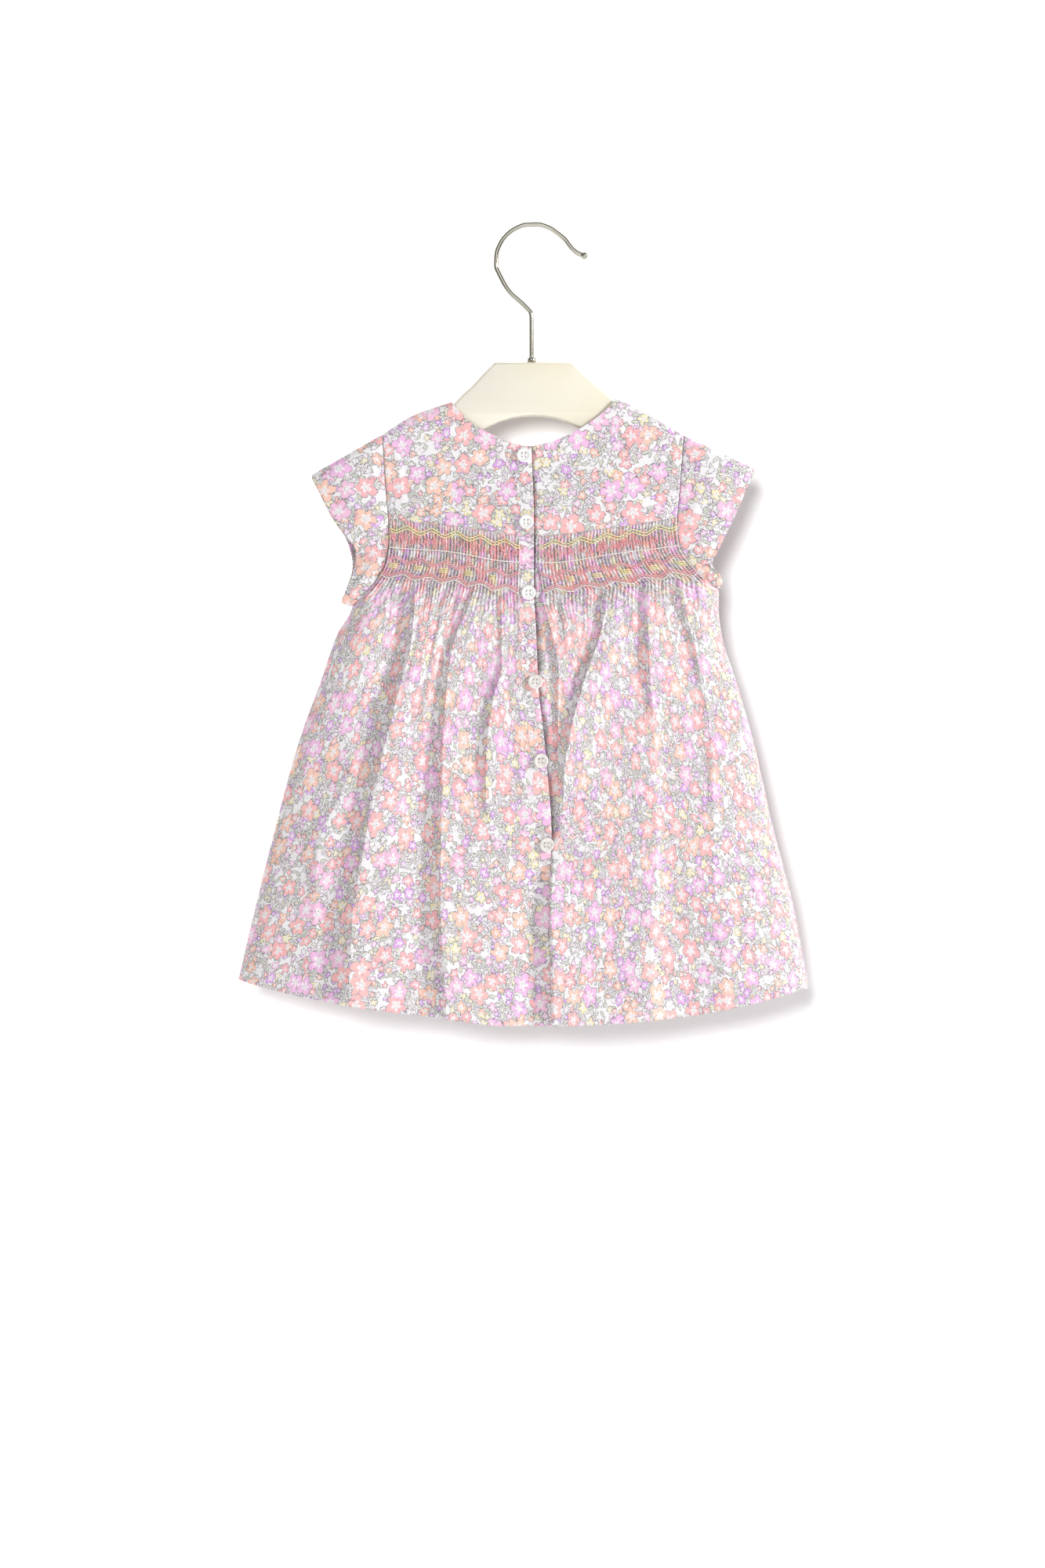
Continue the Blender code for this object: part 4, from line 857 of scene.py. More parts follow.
def lap_drop(x, z):
    """How far the under panel is pushed in beneath the over panel, easing out beside it."""
    groove = groove_width(z)
    beside = ease((column(OPENING, z) + groove + 0.7 - x) / 0.9)
    return 5.0 * beside * ease((z - OPENING_END + 4) / 8)


def grid_object(name, points, cuts, outward_y, ring=False):
    """A quad mesh from rows of points in millimetres, with the flat cut as its UV map in metres."""
    rows, cols = points.shape[:2]
    index = np.arange(rows * cols).reshape(rows, cols)
    if ring:
        index = np.concatenate([index, index[:, :1]], 1)
    corners = [index[:-1, :-1], index[1:, :-1], index[1:, 1:], index[:-1, 1:]]
    if outward_y > 0:
        corners = corners[::-1]
    faces = np.stack(corners, -1).reshape(-1, 4)
    mesh = bpy.data.meshes.new(name)
    mesh.from_pydata((points.reshape(-1, 3) * MM).tolist(), [], faces.tolist())
    layer = mesh.uv_layers.new(name="flat cut")
    flat = (np.asarray(cuts).reshape(-1, 2) * MM)[faces.ravel() % (rows * cols)]
    layer.data.foreach_set("uv", flat.ravel())
    mesh.shade_smooth()
    made = bpy.data.objects.new(name, mesh)
    scene.collection.objects.link(made)
    return made


def give_thickness(made, thickness=SHELL):
    wall = made.modifiers.new("Cloth thickness", "SOLIDIFY")
    wall.thickness = thickness * MM
    wall.offset = -1
    return made


def skirt_grid(panel):
    """All the points of a skirt panel's outer face, with their places on the flat cut."""
    columns, reference = skirt_columns(panel), reference_marks(panel)
    below_rows = SMOCKED + (1 - SMOCKED) * np.linspace(0, 1, ROWS_BELOW[panel] + 1)[1:] ** 1.12
    shares = np.concatenate([[0, 0.006, 0.012], np.linspace(0.02, SMOCKED, 11), below_rows])
    points, cuts = [], []
    for share in shares:
        base, outward, along = skirt_row(panel, share, columns, reference)
        x, z = base[:, 0], base[:, 2]
        below = np.clip(column(YOKE_SEAM, x) * (1 - SMOCKED) + column(HEM, x) * SMOCKED - z, 0, None)
        edge_calm = np.clip(np.minimum(columns, 1 - columns) / 0.02, 0, 1)
        lift = skirt_lift("front" if panel == "front" else "back", x, z)
        lift = lift + pleat_lift(panel, columns, share, below) * (edge_calm if share > SMOCKED else 1)
        wrinkle = 0.32 * soft_noise(x, z, 9, 26, 3) + 0.14 * soft_noise(x, z, 4, 9, 5)
        lift = lift + wrinkle * ease(below / 14) * edge_calm
        if panel == "right":
            lift = lift - lap_drop(x, z)
        moved = base.copy()
        moved[:, :2] += outward * lift[:, None]
        points.append(moved)
        down = (column(YOKE_SEAM, x) - z) * 1.03
        cuts.append(np.stack([flat_across(panel, *along, z), -down], 1))
    return np.array(points), np.array(cuts)


def skirt_shell(name, panel, print_shift):
    points, cuts = skirt_grid(panel)
    made = grid_object(name, points, cuts + np.array(print_shift), 1 if panel == "front" else -1)
    made.data.materials.append(cloth)
    give_thickness(made)
    print(name, len(made.data.polygons), "faces")
    return made


skirt_shells = [
    skirt_shell("back skirt cloth left", "left", (-300, 0)),
    skirt_shell("back skirt cloth right", "right", (0, 0)),
    skirt_shell("front skirt cloth", "front", (900, 0)),
]

# %% [markdown]
# The yokes are plain, cut flat and sewn at the shoulders. They hang over the hanger's arms, so their top
# is rounded by its edge, and lower down they ease into the body's depth. A few shallow creases run from
# the shoulders and the buttons, drawn one by one. The right half passes under the left one.

# %% The yokes
SHOULDER_HALF = 7.9
SHOULDER_ROUND = 5.0
WRAP_POWER = 2.2
YOKE_EASE_TOP = -146.0
YOKE_EASE = 40.0
# Creases of the back: x and z of both ends, half width, depth
YOKE_CREASES = (
    (-86.0, -138.0, -80.0, -182.0, 2.6, 0.5),
    (-60.0, -124.0, -30.0, -150.0, 5.0, 0.6),
    (-6.0, -150.0, -40.0, -172.0, 4.5, 0.5),
    (-6.0, -188.0, -34.0, -178.0, 3.5, 0.4),
    (4.0, -152.0, 34.0, -160.0, 4.0, 0.5),
    (12.0, -176.0, 52.0, -186.0, 4.0, 0.4),
    (60.0, -124.0, 44.0, -152.0, 5.0, 0.6),
    (84.0, -138.0, 82.0, -178.0, 2.8, 0.5),
)


def shoulder_z(x):
    """The top of the cloth over the hanger."""
    x = np.asarray(x, float)
    return np.where(x < 0, column(SHOULDER, np.abs(x), 1), column(SHOULDER, np.abs(x), 2))


def loop_depth(x, z):
    """The half depth of the plain body at a place."""
    half_width = np.where(x < 0, -column(SIDES, z, 1), column(SIDES, z, 2))
    share = np.clip(np.abs(x) / half_width, 0.0, 1.0)
    return column(SIDES, z, 3) * (1 - share**LOOP_POWER) ** (1 / LOOP_POWER)


def yoke_depth(x, z):
    """Over the shoulder the cloth is rounded by the hanger, and below it eases into the body."""
    top = shoulder_z(x) + np.clip(SHOULDER[0][0] - np.abs(x), 0.0, None)
    turn = np.clip(top - z, 0.0, SHOULDER_ROUND) / SHOULDER_ROUND
    wrapped = SHOULDER_HALF * (1 - (1 - turn) ** WRAP_POWER) ** (1 / WRAP_POWER)
    body = ease((YOKE_EASE_TOP - z) / YOKE_EASE)
    return wrapped * (1 - body) + loop_depth(x, z) * body + SEAM / 2


def crease_lift(creases, x, z):
    """Shallow creases: a soft hollow beside a soft ridge, along straight lines that fade at their ends."""
    lift = np.zeros(np.broadcast(x, z).shape)
    for x1, z1, x2, z2, width, depth in creases:
        along = np.array([x2 - x1, z2 - z1])
        length = np.hypot(*along)
        place = ((x - x1) * along[0] + (z - z1) * along[1]) / length**2
        aside = ((x - x1) * along[1] - (z - z1) * along[0]) / length / width
        fade = ease(np.clip(place, 0, 1) * 3) * ease((1 - np.clip(place, 0, 1)) * 3)
        lift = lift + depth * fade * (np.exp(-((aside - 0.6) ** 2)) - np.exp(-((aside + 0.6) ** 2)))
    return lift


def yoke_grid(panel):
    """Rows of a yoke from its top to the seam with the skirt, with their places on the flat cut."""
    neck = FRONT_NECK if panel == "front" else BACK_NECK
    facing = 1 if panel == "front" else -1
    end = neck[-1][0]
    seam_end = ARMHOLES[1][0][1] - SEAM / 2
    edge = OPENING[0][1]
    left, right = -seam_end, seam_end
    low_left = float(column(ARMHOLES[-1], YOKE_SEAM[0][1])) + SEAM / 2
    low_right = float(column(ARMHOLES[1], YOKE_SEAM[-1][1])) - SEAM / 2
    seam_edge = float(column(OPENING, YOKE_SEAM[2][1]))
    if panel == "left":
        right, low_right = edge - SEAM / 2, seam_edge - SEAM / 2
    if panel == "right":
        left, low_left = edge - UNDERLAP, seam_edge - UNDERLAP
    x_top = np.concatenate([np.linspace(left, right, 90), [-end, end, -end + 1.2, end - 1.2]])
    x_top = np.unique(x_top[(x_top >= left) & (x_top <= right)])
    z_top = np.where(np.abs(x_top) < end, column(neck, x_top), shoulder_z(x_top))
    share = (x_top - left) / (right - left)
    x_low = low_left + (low_right - low_left) * share
    z_low = column(YOKE_SEAM, x_low) - 0.2
    points = []
    for down in np.linspace(0, 1, 56) ** 1.35:
        z = z_top + (z_low - z_top) * down
        x = x_top + (x_low - x_top) * down
        if panel != "right":
            x[0] = column(ARMHOLES[-1], z[0]) + SEAM / 2
        if panel != "left":
            x[-1] = column(ARMHOLES[1], z[-1]) - SEAM / 2
        if panel == "left":
            x[-1] = column(OPENING, z[-1]) - SEAM / 2
        depth = yoke_depth(x, z)
        creases = crease_lift(YOKE_CREASES, x if facing < 0 else -x, z)
        calm = ease((top_of(x) - z) / 9) * ease(down * 6) * ease((1 - down) * 8)
        depth = depth + (creases + 0.16 * soft_noise(x, z, 11, 17, 9)) * calm
        if panel == "right":
            depth = depth - 3.2 * ease((column(OPENING, z) + groove_width(z) + 0.7 - x) / 0.9)
        points.append(np.stack([x, facing * depth, z], 1))
    return np.array(points)


def top_of(x):
    return shoulder_z(x) + np.clip(SHOULDER[0][0] - np.abs(x), 0.0, None)


def yoke_shell(name, panel, print_shift):
    points = yoke_grid(panel)
    cuts = points[:, :, (0, 2)] + np.array(print_shift)
    made = grid_object(name, points, cuts, 1 if panel == "front" else -1)
    made.data.materials.append(cloth)
    give_thickness(made)
    print(name, len(made.data.polygons), "faces")
    return made


yoke_shells = [
    yoke_shell("back yoke cloth left", "left", (-500, 330)),
    yoke_shell("back yoke cloth right", "right", (-280, 330)),
    yoke_shell("front yoke cloth", "front", (700, 330)),
]

# %% [markdown]
# A sleeve is one short tube from the armhole to its hem. Its first ring repeats the body's edge, a seam's
# width away, and its last ring follows the hem, which the tables give from the top corner round the back
# and round the front. Between them the cloth swells a little.

# %% The sleeves
# share of the half round, then x, y, z
LEFT_HEM_BACK = (
    (0.00, -141.3, 0.0, -158.3),
    (0.06, -141.0, -5.6, -160.6),
    (0.16, -137.0, -7.9, -168.5),
    (0.28, -130.5, -8.5, -181.5),
    (0.38, -124.5, -9.4, -191.5),
    (0.46, -116.5, -10.2, -201.0),
    (0.52, -112.8, -8.4, -207.0),
    (0.60, -113.2, -5.6, -213.5),
    (0.72, -116.3, -6.6, -224.0),
    (0.86, -120.3, -6.4, -234.5),
    (0.95, -122.0, -3.6, -239.0),
    (1.00, -121.8, 0.0, -240.4),
)
LEFT_HEM_FRONT = (
    (0.00, -141.3, 0.0, -158.3),
    (0.06, -141.0, 5.6, -160.6),
    (0.18, -136.0, 7.9, -170.5),
    (0.34, -127.0, 8.4, -187.0),
    (0.50, -117.8, 8.0, -203.0),
    (0.66, -115.4, 7.4, -216.0),
    (0.82, -118.8, 7.0, -229.5),
    (0.95, -122.4, 3.6, -238.8),
    (1.00, -121.8, 0.0, -240.4),
)
RIGHT_HEM_BACK = (
    (0.00, 141.3, 0.0, -154.3),
    (0.06, 141.0, -5.6, -156.8),
    (0.16, 137.0, -7.9, -165.0),
    (0.30, 130.8, -8.5, -180.0),
    (0.44, 124.0, -9.2, -194.0),
    (0.58, 117.0, -10.0, -208.5),
    (0.67, 113.6, -9.6, -216.2),
    (0.73, 115.0, -6.6, -218.8),
    (0.82, 119.0, -6.4, -222.8),
    (0.90, 120.6, -5.6, -226.4),
    (0.96, 120.0, -3.2, -229.0),
    (1.00, 118.9, 0.0, -230.4),
)
RIGHT_HEM_FRONT = (
    (0.00, 141.3, 0.0, -154.3),
    (0.06, 141.0, 5.6, -156.8),
    (0.20, 134.5, 7.9, -170.0),
    (0.40, 124.5, 8.4, -191.0),
    (0.60, 114.5, 8.2, -209.5),
    (0.78, 114.0, 7.4, -219.0),
    (0.92, 118.0, 4.8, -227.4),
    (1.00, 118.9, 0.0, -230.4),
)
HEMS = {-1: (LEFT_HEM_BACK, LEFT_HEM_FRONT), 1: (RIGHT_HEM_BACK, RIGHT_HEM_FRONT)}
# Creases of the sleeves, given as the yoke's are
SLEEVE_CREASES = (
    (-101.0, -136.0, -99.5, -172.0, 1.8, 0.7),
    (-112.0, -199.0, -95.5, -208.5, 1.6, 1.3),
    (-118.0, -232.0, -101.0, -214.0, 2.2, 0.8),
    (108.0, -216.0, 121.0, -226.0, 1.6, 1.3),
    (109.0, -228.0, 115.0, -231.0, 1.4, 0.8),
    (101.0, -140.0, 99.0, -176.0, 2.0, 0.6),
    (112.0, -166.0, 100.0, -196.0, 3.5, 0.7),
)
SLEEVE_RINGS = 30
HALF_RING = 44


def armhole_edge(side, facing):
    """The body's outer edge round half an armhole, from the shoulder to the underarm."""
    panel = "front" if facing > 0 else ("left" if side < 0 else "right")
    end = 0 if side < 0 else -1
    edge = list(yoke_grid(panel)[:, end])
    underarm = ARMHOLES[side][-1][0]
    reference = reference_marks(panel)
    for share in np.linspace(0.01, 0.19, 25):
        base, _, _ = skirt_row(panel, share, np.array([0.0, 1.0]), reference)
        if base[end, 2] > underarm + 1.2:
            edge.append(base[end])
    return np.array(edge)


def sleeve_rings(side):
    """Rings of a sleeve, from the armhole seam to the hem, each round from the top by the back."""
    starts, ends = [], []
    shares = np.linspace(0, 1, HALF_RING) ** 1.15
    for facing, table in zip((-1, 1), HEMS[side]):
        edge = armhole_edge(side, facing)
        edge[:, 0] += side * SEAM
        top = [[edge[0][0], 0.0, edge[0][2]]]
        bottom = [[ARMHOLES[side][-1][1] + side * SEAM, 0.0, ARMHOLES[side][-1][0] + 2 * SEAM]]
        edge = np.concatenate([top, edge[1:], bottom])
        run = np.concatenate([[0], np.cumsum(np.linalg.norm(np.diff(edge, axis=0), axis=1))])
        starts.append(np.stack([np.interp(shares * run[-1], run, edge[:, i]) for i in range(3)], 1))
        ends.append(np.stack([column(table, shares, number) for number in (1, 2, 3)], 1))
    first = np.concatenate([starts[0], starts[1][-2:0:-1]])
    last = np.concatenate([ends[0], ends[1][-2:0:-1]])
    rings = []
    for out in np.linspace(0, 1, SLEEVE_RINGS):
        ring = first + (last - first) * out
        calm = math.sin(math.pi * out)
        fold = crease_lift(SLEEVE_CREASES, ring[:, 0], ring[:, 2]) + 0.25 * soft_noise(ring[:, 0], ring[:, 2], 9, 13, 21)
        swell = 1.4 * calm + fold * min(1.0, 4 * calm)
        ring[:, 1] += np.sign(ring[:, 1]) * swell * np.clip(np.abs(ring[:, 1]) / 6, 0, 1)
        rings.append(ring)
    return np.array(rings)


def sleeve_shell(name, side, print_shift):
    points = sleeve_rings(side)
    around = np.concatenate([[0], np.cumsum(np.linalg.norm(np.diff(points[-1], axis=0), axis=1))])
    cuts = np.zeros((*points.shape[:2], 2))
    back = np.arange(points.shape[1]) < HALF_RING
    cuts[:, :, 0] = points[:, :, 0]
    cuts[:, :, 1] = points[:, :, 2] + np.where(back, 0, 260)
    made = grid_object(name, points, cuts + np.array(print_shift), 1 if side < 0 else -1, ring=True)
    made.data.materials.append(cloth)
    work = bmesh.new()
    work.from_mesh(made.data)
    bmesh.ops.recalc_face_normals(work, faces=work.faces)
    centre = points.reshape(-1, 3).mean(0) * MM
    outwards = sum(face.normal.y * (face.calc_center_median().y - centre[1]) for face in work.faces)
    if outwards < 0:
        bmesh.ops.reverse_faces(work, faces=work.faces)
    work.to_mesh(made.data)
    work.free()
    give_thickness(made)
    print(name, len(made.data.polygons), "faces, hem", round(float(around[-1])), "mm round")
    return made


sleeve_shells = [
    sleeve_shell("sleeve cloth left", -1, (-460, 620)),
    sleeve_shell("sleeve cloth right", 1, (-440, 620)),
]

# %% [markdown]
# Smocking stitches pass from pleat to pleat along the tops. Each is a short thread that dips into the
# cloth at both ends. They could be drawn in the print, but real threads stand up and catch the light. So
# every stitch is a line of four points in a plain mesh of edges, and one Geometry Nodes tree turns all
# of them into round threads. The tree has named inputs for the thread's radius, its sides and its finish.

# %% The tree that spins the threads


def stitch_tree():
    tree = bpy.data.node_groups.new("Stitches", "GeometryNodeTree")
    face = tree.interface
    face.new_socket(name="Lines", in_out="INPUT", socket_type="NodeSocketGeometry")
    face.new_socket(name="Thread radius", in_out="INPUT", socket_type="NodeSocketFloat")
    face.new_socket(name="Sides", in_out="INPUT", socket_type="NodeSocketInt")
    face.new_socket(name="Thread", in_out="INPUT", socket_type="NodeSocketMaterial")
    face.new_socket(name="Stitches", in_out="OUTPUT", socket_type="NodeSocketGeometry")
    given = tree.nodes.new("NodeGroupInput").outputs
    lines = add(tree, "GeometryNodeMeshToCurve", Mesh=given["Lines"]).outputs[0]
    sizes = {"Resolution": given["Sides"], "Radius": given["Thread radius"]}
    round_section = add(tree, "GeometryNodeCurvePrimitiveCircle", {"mode": "RADIUS"}, **sizes).outputs[0]
    settings = {"Curve": lines, "Profile Curve": round_section, "Fill Caps": True}
    threads = add(tree, "GeometryNodeCurveToMesh", **settings).outputs[0]
    smooth = add(tree, "GeometryNodeSetShadeSmooth", Geometry=threads).outputs[0]
    real = add(tree, "GeometryNodeRealizeInstances", Geometry=smooth).outputs[0]
    done = add(tree, "GeometryNodeSetMaterial", Geometry=real, Material=given["Thread"]).outputs[0]
    add(tree, "NodeGroupOutput", Stitches=done)
    return tree


STITCHES = stitch_tree()


def spun(name, lines, radius, sides, material):
    """A plain mesh of all the threads whose lines are given in millimetres."""
    points = np.concatenate(lines) * MM
    starts = np.cumsum([0] + [len(line) for line in lines[:-1]])
    edges = [(start + i, start + i + 1) for start, line in zip(starts, lines) for i in range(len(line) - 1)]
    mesh = bpy.data.meshes.new(name + " lines")
    mesh.from_pydata(points.tolist(), edges, [])
    rough = bpy.data.objects.new(name + " lines", mesh)
    scene.collection.objects.link(rough)
    spin = rough.modifiers.new("Stitches", "NODES")
    spin.node_group = STITCHES
    sockets = {item.name: item.identifier for item in STITCHES.interface.items_tree if item.in_out == "INPUT"}
    spin[sockets["Thread radius"]] = radius * MM
    spin[sockets["Sides"]] = sides
    spin[sockets["Thread"]] = material
    graph = bpy.context.evaluated_depsgraph_get()
    made = bpy.data.objects.new(name, bpy.data.meshes.new_from_object(rough.evaluated_get(graph)))
    scene.collection.objects.link(made)
    bpy.data.objects.remove(rough)
    print(name, len(lines), "stitches,", len(made.data.polygons), "faces")
    return made


# %% [markdown]
# Embroidery cotton is mercerised, which gives it a soft gloss. Its two plies are too fine to show at this
# size, so the twist is drawn as a soft unevenness of colour along the thread and a small bump.

# %% The threads


def thread(name, hexes):
    """Mercerised cotton, in a colour that varies a little between stitches."""
    material, tree, shader = new_material(name, hexes[0], hexes[0], 0.55, ior=1.53)
    place = add(tree, "ShaderNodeTexCoord").outputs["Object"]
    patch = add(tree, "ShaderNodeTexNoise", Vector=place, Scale=420.0, Detail=1.0).outputs[0]
    tone = blend(tree, between(tree, patch, 0.38, 0.62), colour(hexes[0]), colour(hexes[1]))
    tree.links.new(tone, shader.inputs["Base Color"])
    twist = add(tree, "ShaderNodeTexWave", {"bands_direction": "DIAGONAL"}, Vector=place, Scale=520.0)
    bump = add(tree, "ShaderNodeBump", Height=twist.outputs["Fac"], Strength=0.35, Distance=0.0001)
    tree.links.new(bump.outputs[0], shader.inputs["Normal"])
    shader.inputs["Sheen Weight"].default_value = 0.2
    return material


YELLOW = thread("yellow embroidery cotton", ("#FFF8C6", "#FCF0AE"))
CORAL = thread("coral embroidery cotton", ("#FFC6C8", "#FFB2B9"))
CREAM = thread("cream embroidery cotton", ("#FFFDF6", "#FBF6EC"))

# %% [markdown]
# The rows of embroidery follow the picture. From the top: a double zigzag in yellow, a band of short coral
# bars on and between the pleats, one straight cream line, and two coral zigzags that mirror each other
# into diamonds, with a cream zigzag under the lower one and a yellow knot in each diamond. A zigzag
# turns every four pleats.

# %% The embroidery
BAND_ROWS = 25
ZIGZAG = 8  # pleats from peak to peak
YELLOW_PEAK, CORAL_PEAK = 4.5, 7.5  # the first peaks, counted in pleats from the opening
THREAD_LIFT = 0.25


def band_table(panel):
    """The tops of the pleats over the smocked band: rows down, pleats across, in millimetres."""
    count = 2 * PLEATS - 1 if panel == "front" else PLEATS
    plain = {"front": 0.0, "left": PLACKET, "right": PLAIN_UNDERLAP}[panel]
    columns = plain + (1 - plain) * (np.arange(count) + 0.5) / count
    columns = 1 - columns if panel == "left" else columns
    order = np.argsort(columns)
    reference = reference_marks(panel)
    rows = []
    for share in np.linspace(0, SMOCKED, BAND_ROWS):
        base, outward, _ = skirt_row(panel, share, columns[order], reference)
        height = PLEAT * float(ease((share + 0.002) / 0.02)) + THREAD_LIFT
        if panel == "right":
            height = height - lap_drop(base[:, 0], base[:, 2])
        base[:, :2] += outward * np.broadcast_to(height, len(base))[:, None]
        rows.append(base[np.argsort(order)])
    return np.array(rows)


def on_band(table, pleat, down):
    """A place on the pleats' tops: which pleat, and how far down the band."""
    last_row, last_pleat = table.shape[0] - 1, table.shape[1] - 1
    row, pleat = np.clip(down, 0, 1) * last_row, np.clip(pleat, 0, last_pleat)
    i, j = min(int(row), last_row - 1), min(int(pleat), last_pleat - 1)
    s, t = row - i, pleat - j
    upper = table[i, j] * (1 - t) + table[i, j + 1] * t
    return upper * (1 - s) + (table[i + 1, j] * (1 - t) + table[i + 1, j + 1] * t) * s


def stitch(table, facing, start, end, rise=0.2, dip=0.75):
    """One thread between two places on the band, which dips into the cloth at its ends."""
    first, last = on_band(table, *start), on_band(table, *end)
    line = np.array([first, first + (last - first) * 0.16, first + (last - first) * 0.84, last])
    line[:, 1] += facing * np.array([-dip, rise, rise, -dip])
    return line


def zigzag(pleat, peak, high, low):
    """The height of a zigzag line at a pleat."""
    away = abs((pleat - peak + ZIGZAG / 2) % ZIGZAG - ZIGZAG / 2) / (ZIGZAG / 2)
    return high + (low - high) * away


def embroider(panel, rows):
    """Adds one panel's stitches to the lists by their threads."""
    table = band_table(panel)
    facing = 1 if panel == "front" else -1
    count = table.shape[1]
    middle = (count - 1) / 2
    own = np.random.default_rng({"left": 2, "right": 3, "front": 4}[panel])
    for number in range(count - 1):
        near, far = (abs(k - middle) if panel == "front" else float(k) for k in (number, number + 1))
        for shift in (0.0, 0.047):
            ends = [(k, zigzag(at, YELLOW_PEAK, 0.075, 0.185) + shift) for k, at in ((number, near), (number + 1, far))]
            rows["yellow"].append(stitch(table, facing, *ends, rise=0.35))
        for high, low, shift in ((0.6, 0.71, 0.0), (0.6, 0.71, 0.032), (0.94, 0.84, 0.0), (0.94, 0.84, 0.03)):
            ends = [(k, zigzag(at, CORAL_PEAK, high, low) + shift) for k, at in ((number, near), (number + 1, far))]
            rows["waves"].append(stitch(table, facing, *ends, rise=0.3))
        ends = [(k, zigzag(at, CORAL_PEAK, 0.985, 0.885) + 0.018) for k, at in ((number, near), (number + 1, far))]
        rows["cream"].append(stitch(table, facing, *ends, rise=0.3))
        bend = 0.455 + 0.012 * math.sin(number * 0.2)
        rows["cream"].append(stitch(table, facing, (number - 0.1, bend), (number + 1.1, bend + 0.008), rise=0.3))
    for half in np.arange(0, count - 0.75, 0.5):
        if own.random() < (0.12 if half % 1 == 0 else 0.6):
            continue
        top, bottom = 0.255 + own.uniform(-0.05, 0.05), 0.39 + own.uniform(-0.07, 0.045)
        cuts = np.linspace(top, bottom, 4)
        for high, low in zip(cuts, cuts[1:]):
            sway = own.uniform(-0.12, 0.12)
            ends = ((half + sway, high + 0.004), (half + sway + own.uniform(-0.25, 0.25), low - 0.004))
            rows["bars"].append(stitch(table, facing, *ends, rise=0.25, dip=0.6))
    for number in range(count):
        at = abs(number - middle) if panel == "front" else number
        if abs((at - CORAL_PEAK + ZIGZAG / 2) % ZIGZAG - ZIGZAG / 2) <= 0.5 and at + 0.5 > CORAL_PEAK:
            for step in (-0.03, 0.0, 0.03):
                ends = ((number - 0.3, 0.775 + step), (number + 1.3, 0.775 + step))
                rows["yellow"].append(stitch(table, facing, *ends, rise=0.45))


stitch_rows = {"yellow": [], "waves": [], "cream": [], "bars": []}
for panel_name in ("left", "right", "front"):
    embroider(panel_name, stitch_rows)
embroidery = [
    spun("embroidery_yellow", stitch_rows["yellow"], 0.36, 6, YELLOW),
    spun("embroidery_coral_waves", stitch_rows["waves"], 0.3, 6, CORAL),
    spun("embroidery_coral_bars", stitch_rows["bars"], 0.36, 6, CORAL),
    spun("embroidery_cream", stitch_rows["cream"], 0.3, 6, CREAM),
]

# %% [markdown]
# A fine topstitch runs beside each armhole seam and holds the seam allowance down. It is set with the
# same tree, in short dashes of sewing thread on the yoke's own surface.

# %% The topstitching
DASH, DASH_GAP, BESIDE_SEAM = 1.9, 0.7, 5.6


def topstitch(side, facing):
    lines = []
    z = -140.0
    while z > -184.0:
        dash = []
        for step in (0.0, 0.2, 0.8, 1.0):
            at = z - DASH * step
            x = float(column(ARMHOLES[side], at)) - side * BESIDE_SEAM
            stand = -0.35 if step in (0.0, 1.0) else 0.25
            dash.append((x, facing * (float(yoke_depth(np.array(x), np.array(at))) + stand), at))
        lines.append(np.array(dash))
        z -= DASH + DASH_GAP
    return lines


dashes = [line for side in (-1, 1) for facing in (-1, 1) for line in topstitch(side, facing)]
topstitching = spun("topstitching", dashes, 0.13, 5, CREAM)

# %% [markdown]
# The buttons are turned from one profile: a dished middle with four holes, a rounded rim and a foot that
# sits on the cloth. A shirt button is cut on a lathe just like that, so a screwed profile gives its true
# form, and four round cutters bore the holes. The top three are opaque white. The lower three are thin
# and let the light in a little, as shell or casein does.

# %% Buttons
BUTTON_SIDES = 56
HOLE, HOLE_SPREAD = 1.0, 1.15
# The profile from the middle outwards and back below: share of the radius, share of the thickness
BUTTON_PROFILE = (
    (0.0, 0.8), (0.4, 0.8), (0.55, 0.82), (0.63, 0.87), (0.7, 0.95), (0.77, 1.0), (0.86, 0.98),
    (0.94, 0.9), (0.985, 0.76), (1.0, 0.6), (0.985, 0.42), (0.9, 0.16), (0.78, 0.0), (0.0, 0.0),
)


def button_form(radius, thickness):
    """A button with its foot at y = 0 and its face towards -Y, in metres."""
    mesh = bpy.data.meshes.new("button")
    points = [(across * radius, -up * thickness, 0) for across, up in BUTTON_PROFILE]
    mesh.from_pydata(points, [(i, i + 1) for i in range(len(points) - 1)], [])
    made = bpy.data.objects.new("button", mesh)
    scene.collection.objects.link(made)
    turn = made.modifiers.new("Turn", "SCREW")
    turn.axis = "Y"
    turn.steps = turn.render_steps = BUTTON_SIDES
    turn.use_merge_vertices = True
    turn.merge_threshold = 0.00002
    cutter_mesh = bpy.data.meshes.new("holes")
    work = bmesh.new()
    for across, up in ((-1, -1), (-1, 1), (1, -1), (1, 1)):
        size = HOLE / 2 * MM
        made_hole = bmesh.ops.create_cone(work, cap_ends=True, segments=20, radius1=size, radius2=size, depth=0.02)
        bmesh.ops.translate(work, verts=made_hole["verts"], vec=(across * HOLE_SPREAD * MM, up * HOLE_SPREAD * MM, 0))
    bmesh.ops.rotate(work, verts=work.verts, cent=(0, 0, 0), matrix=Matrix.Rotation(math.pi / 2, 3, "X"))
    work.to_mesh(cutter_mesh)
    work.free()
    cutter = bpy.data.objects.new("holes", cutter_mesh)
    scene.collection.objects.link(cutter)
    bore = made.modifiers.new("Bore", "BOOLEAN")
    bore.object = cutter
    graph = bpy.context.evaluated_depsgraph_get()
    form = bpy.data.meshes.new_from_object(made.evaluated_get(graph))
    bpy.data.objects.remove(made)
    bpy.data.objects.remove(cutter)
    work = bmesh.new()
    work.from_mesh(form)
    bmesh.ops.recalc_face_normals(work, faces=work.faces)
    work.to_mesh(form)
    work.free()
    form.shade_smooth()
    form.set_sharp_from_angle(angle=math.radians(38))
    return form


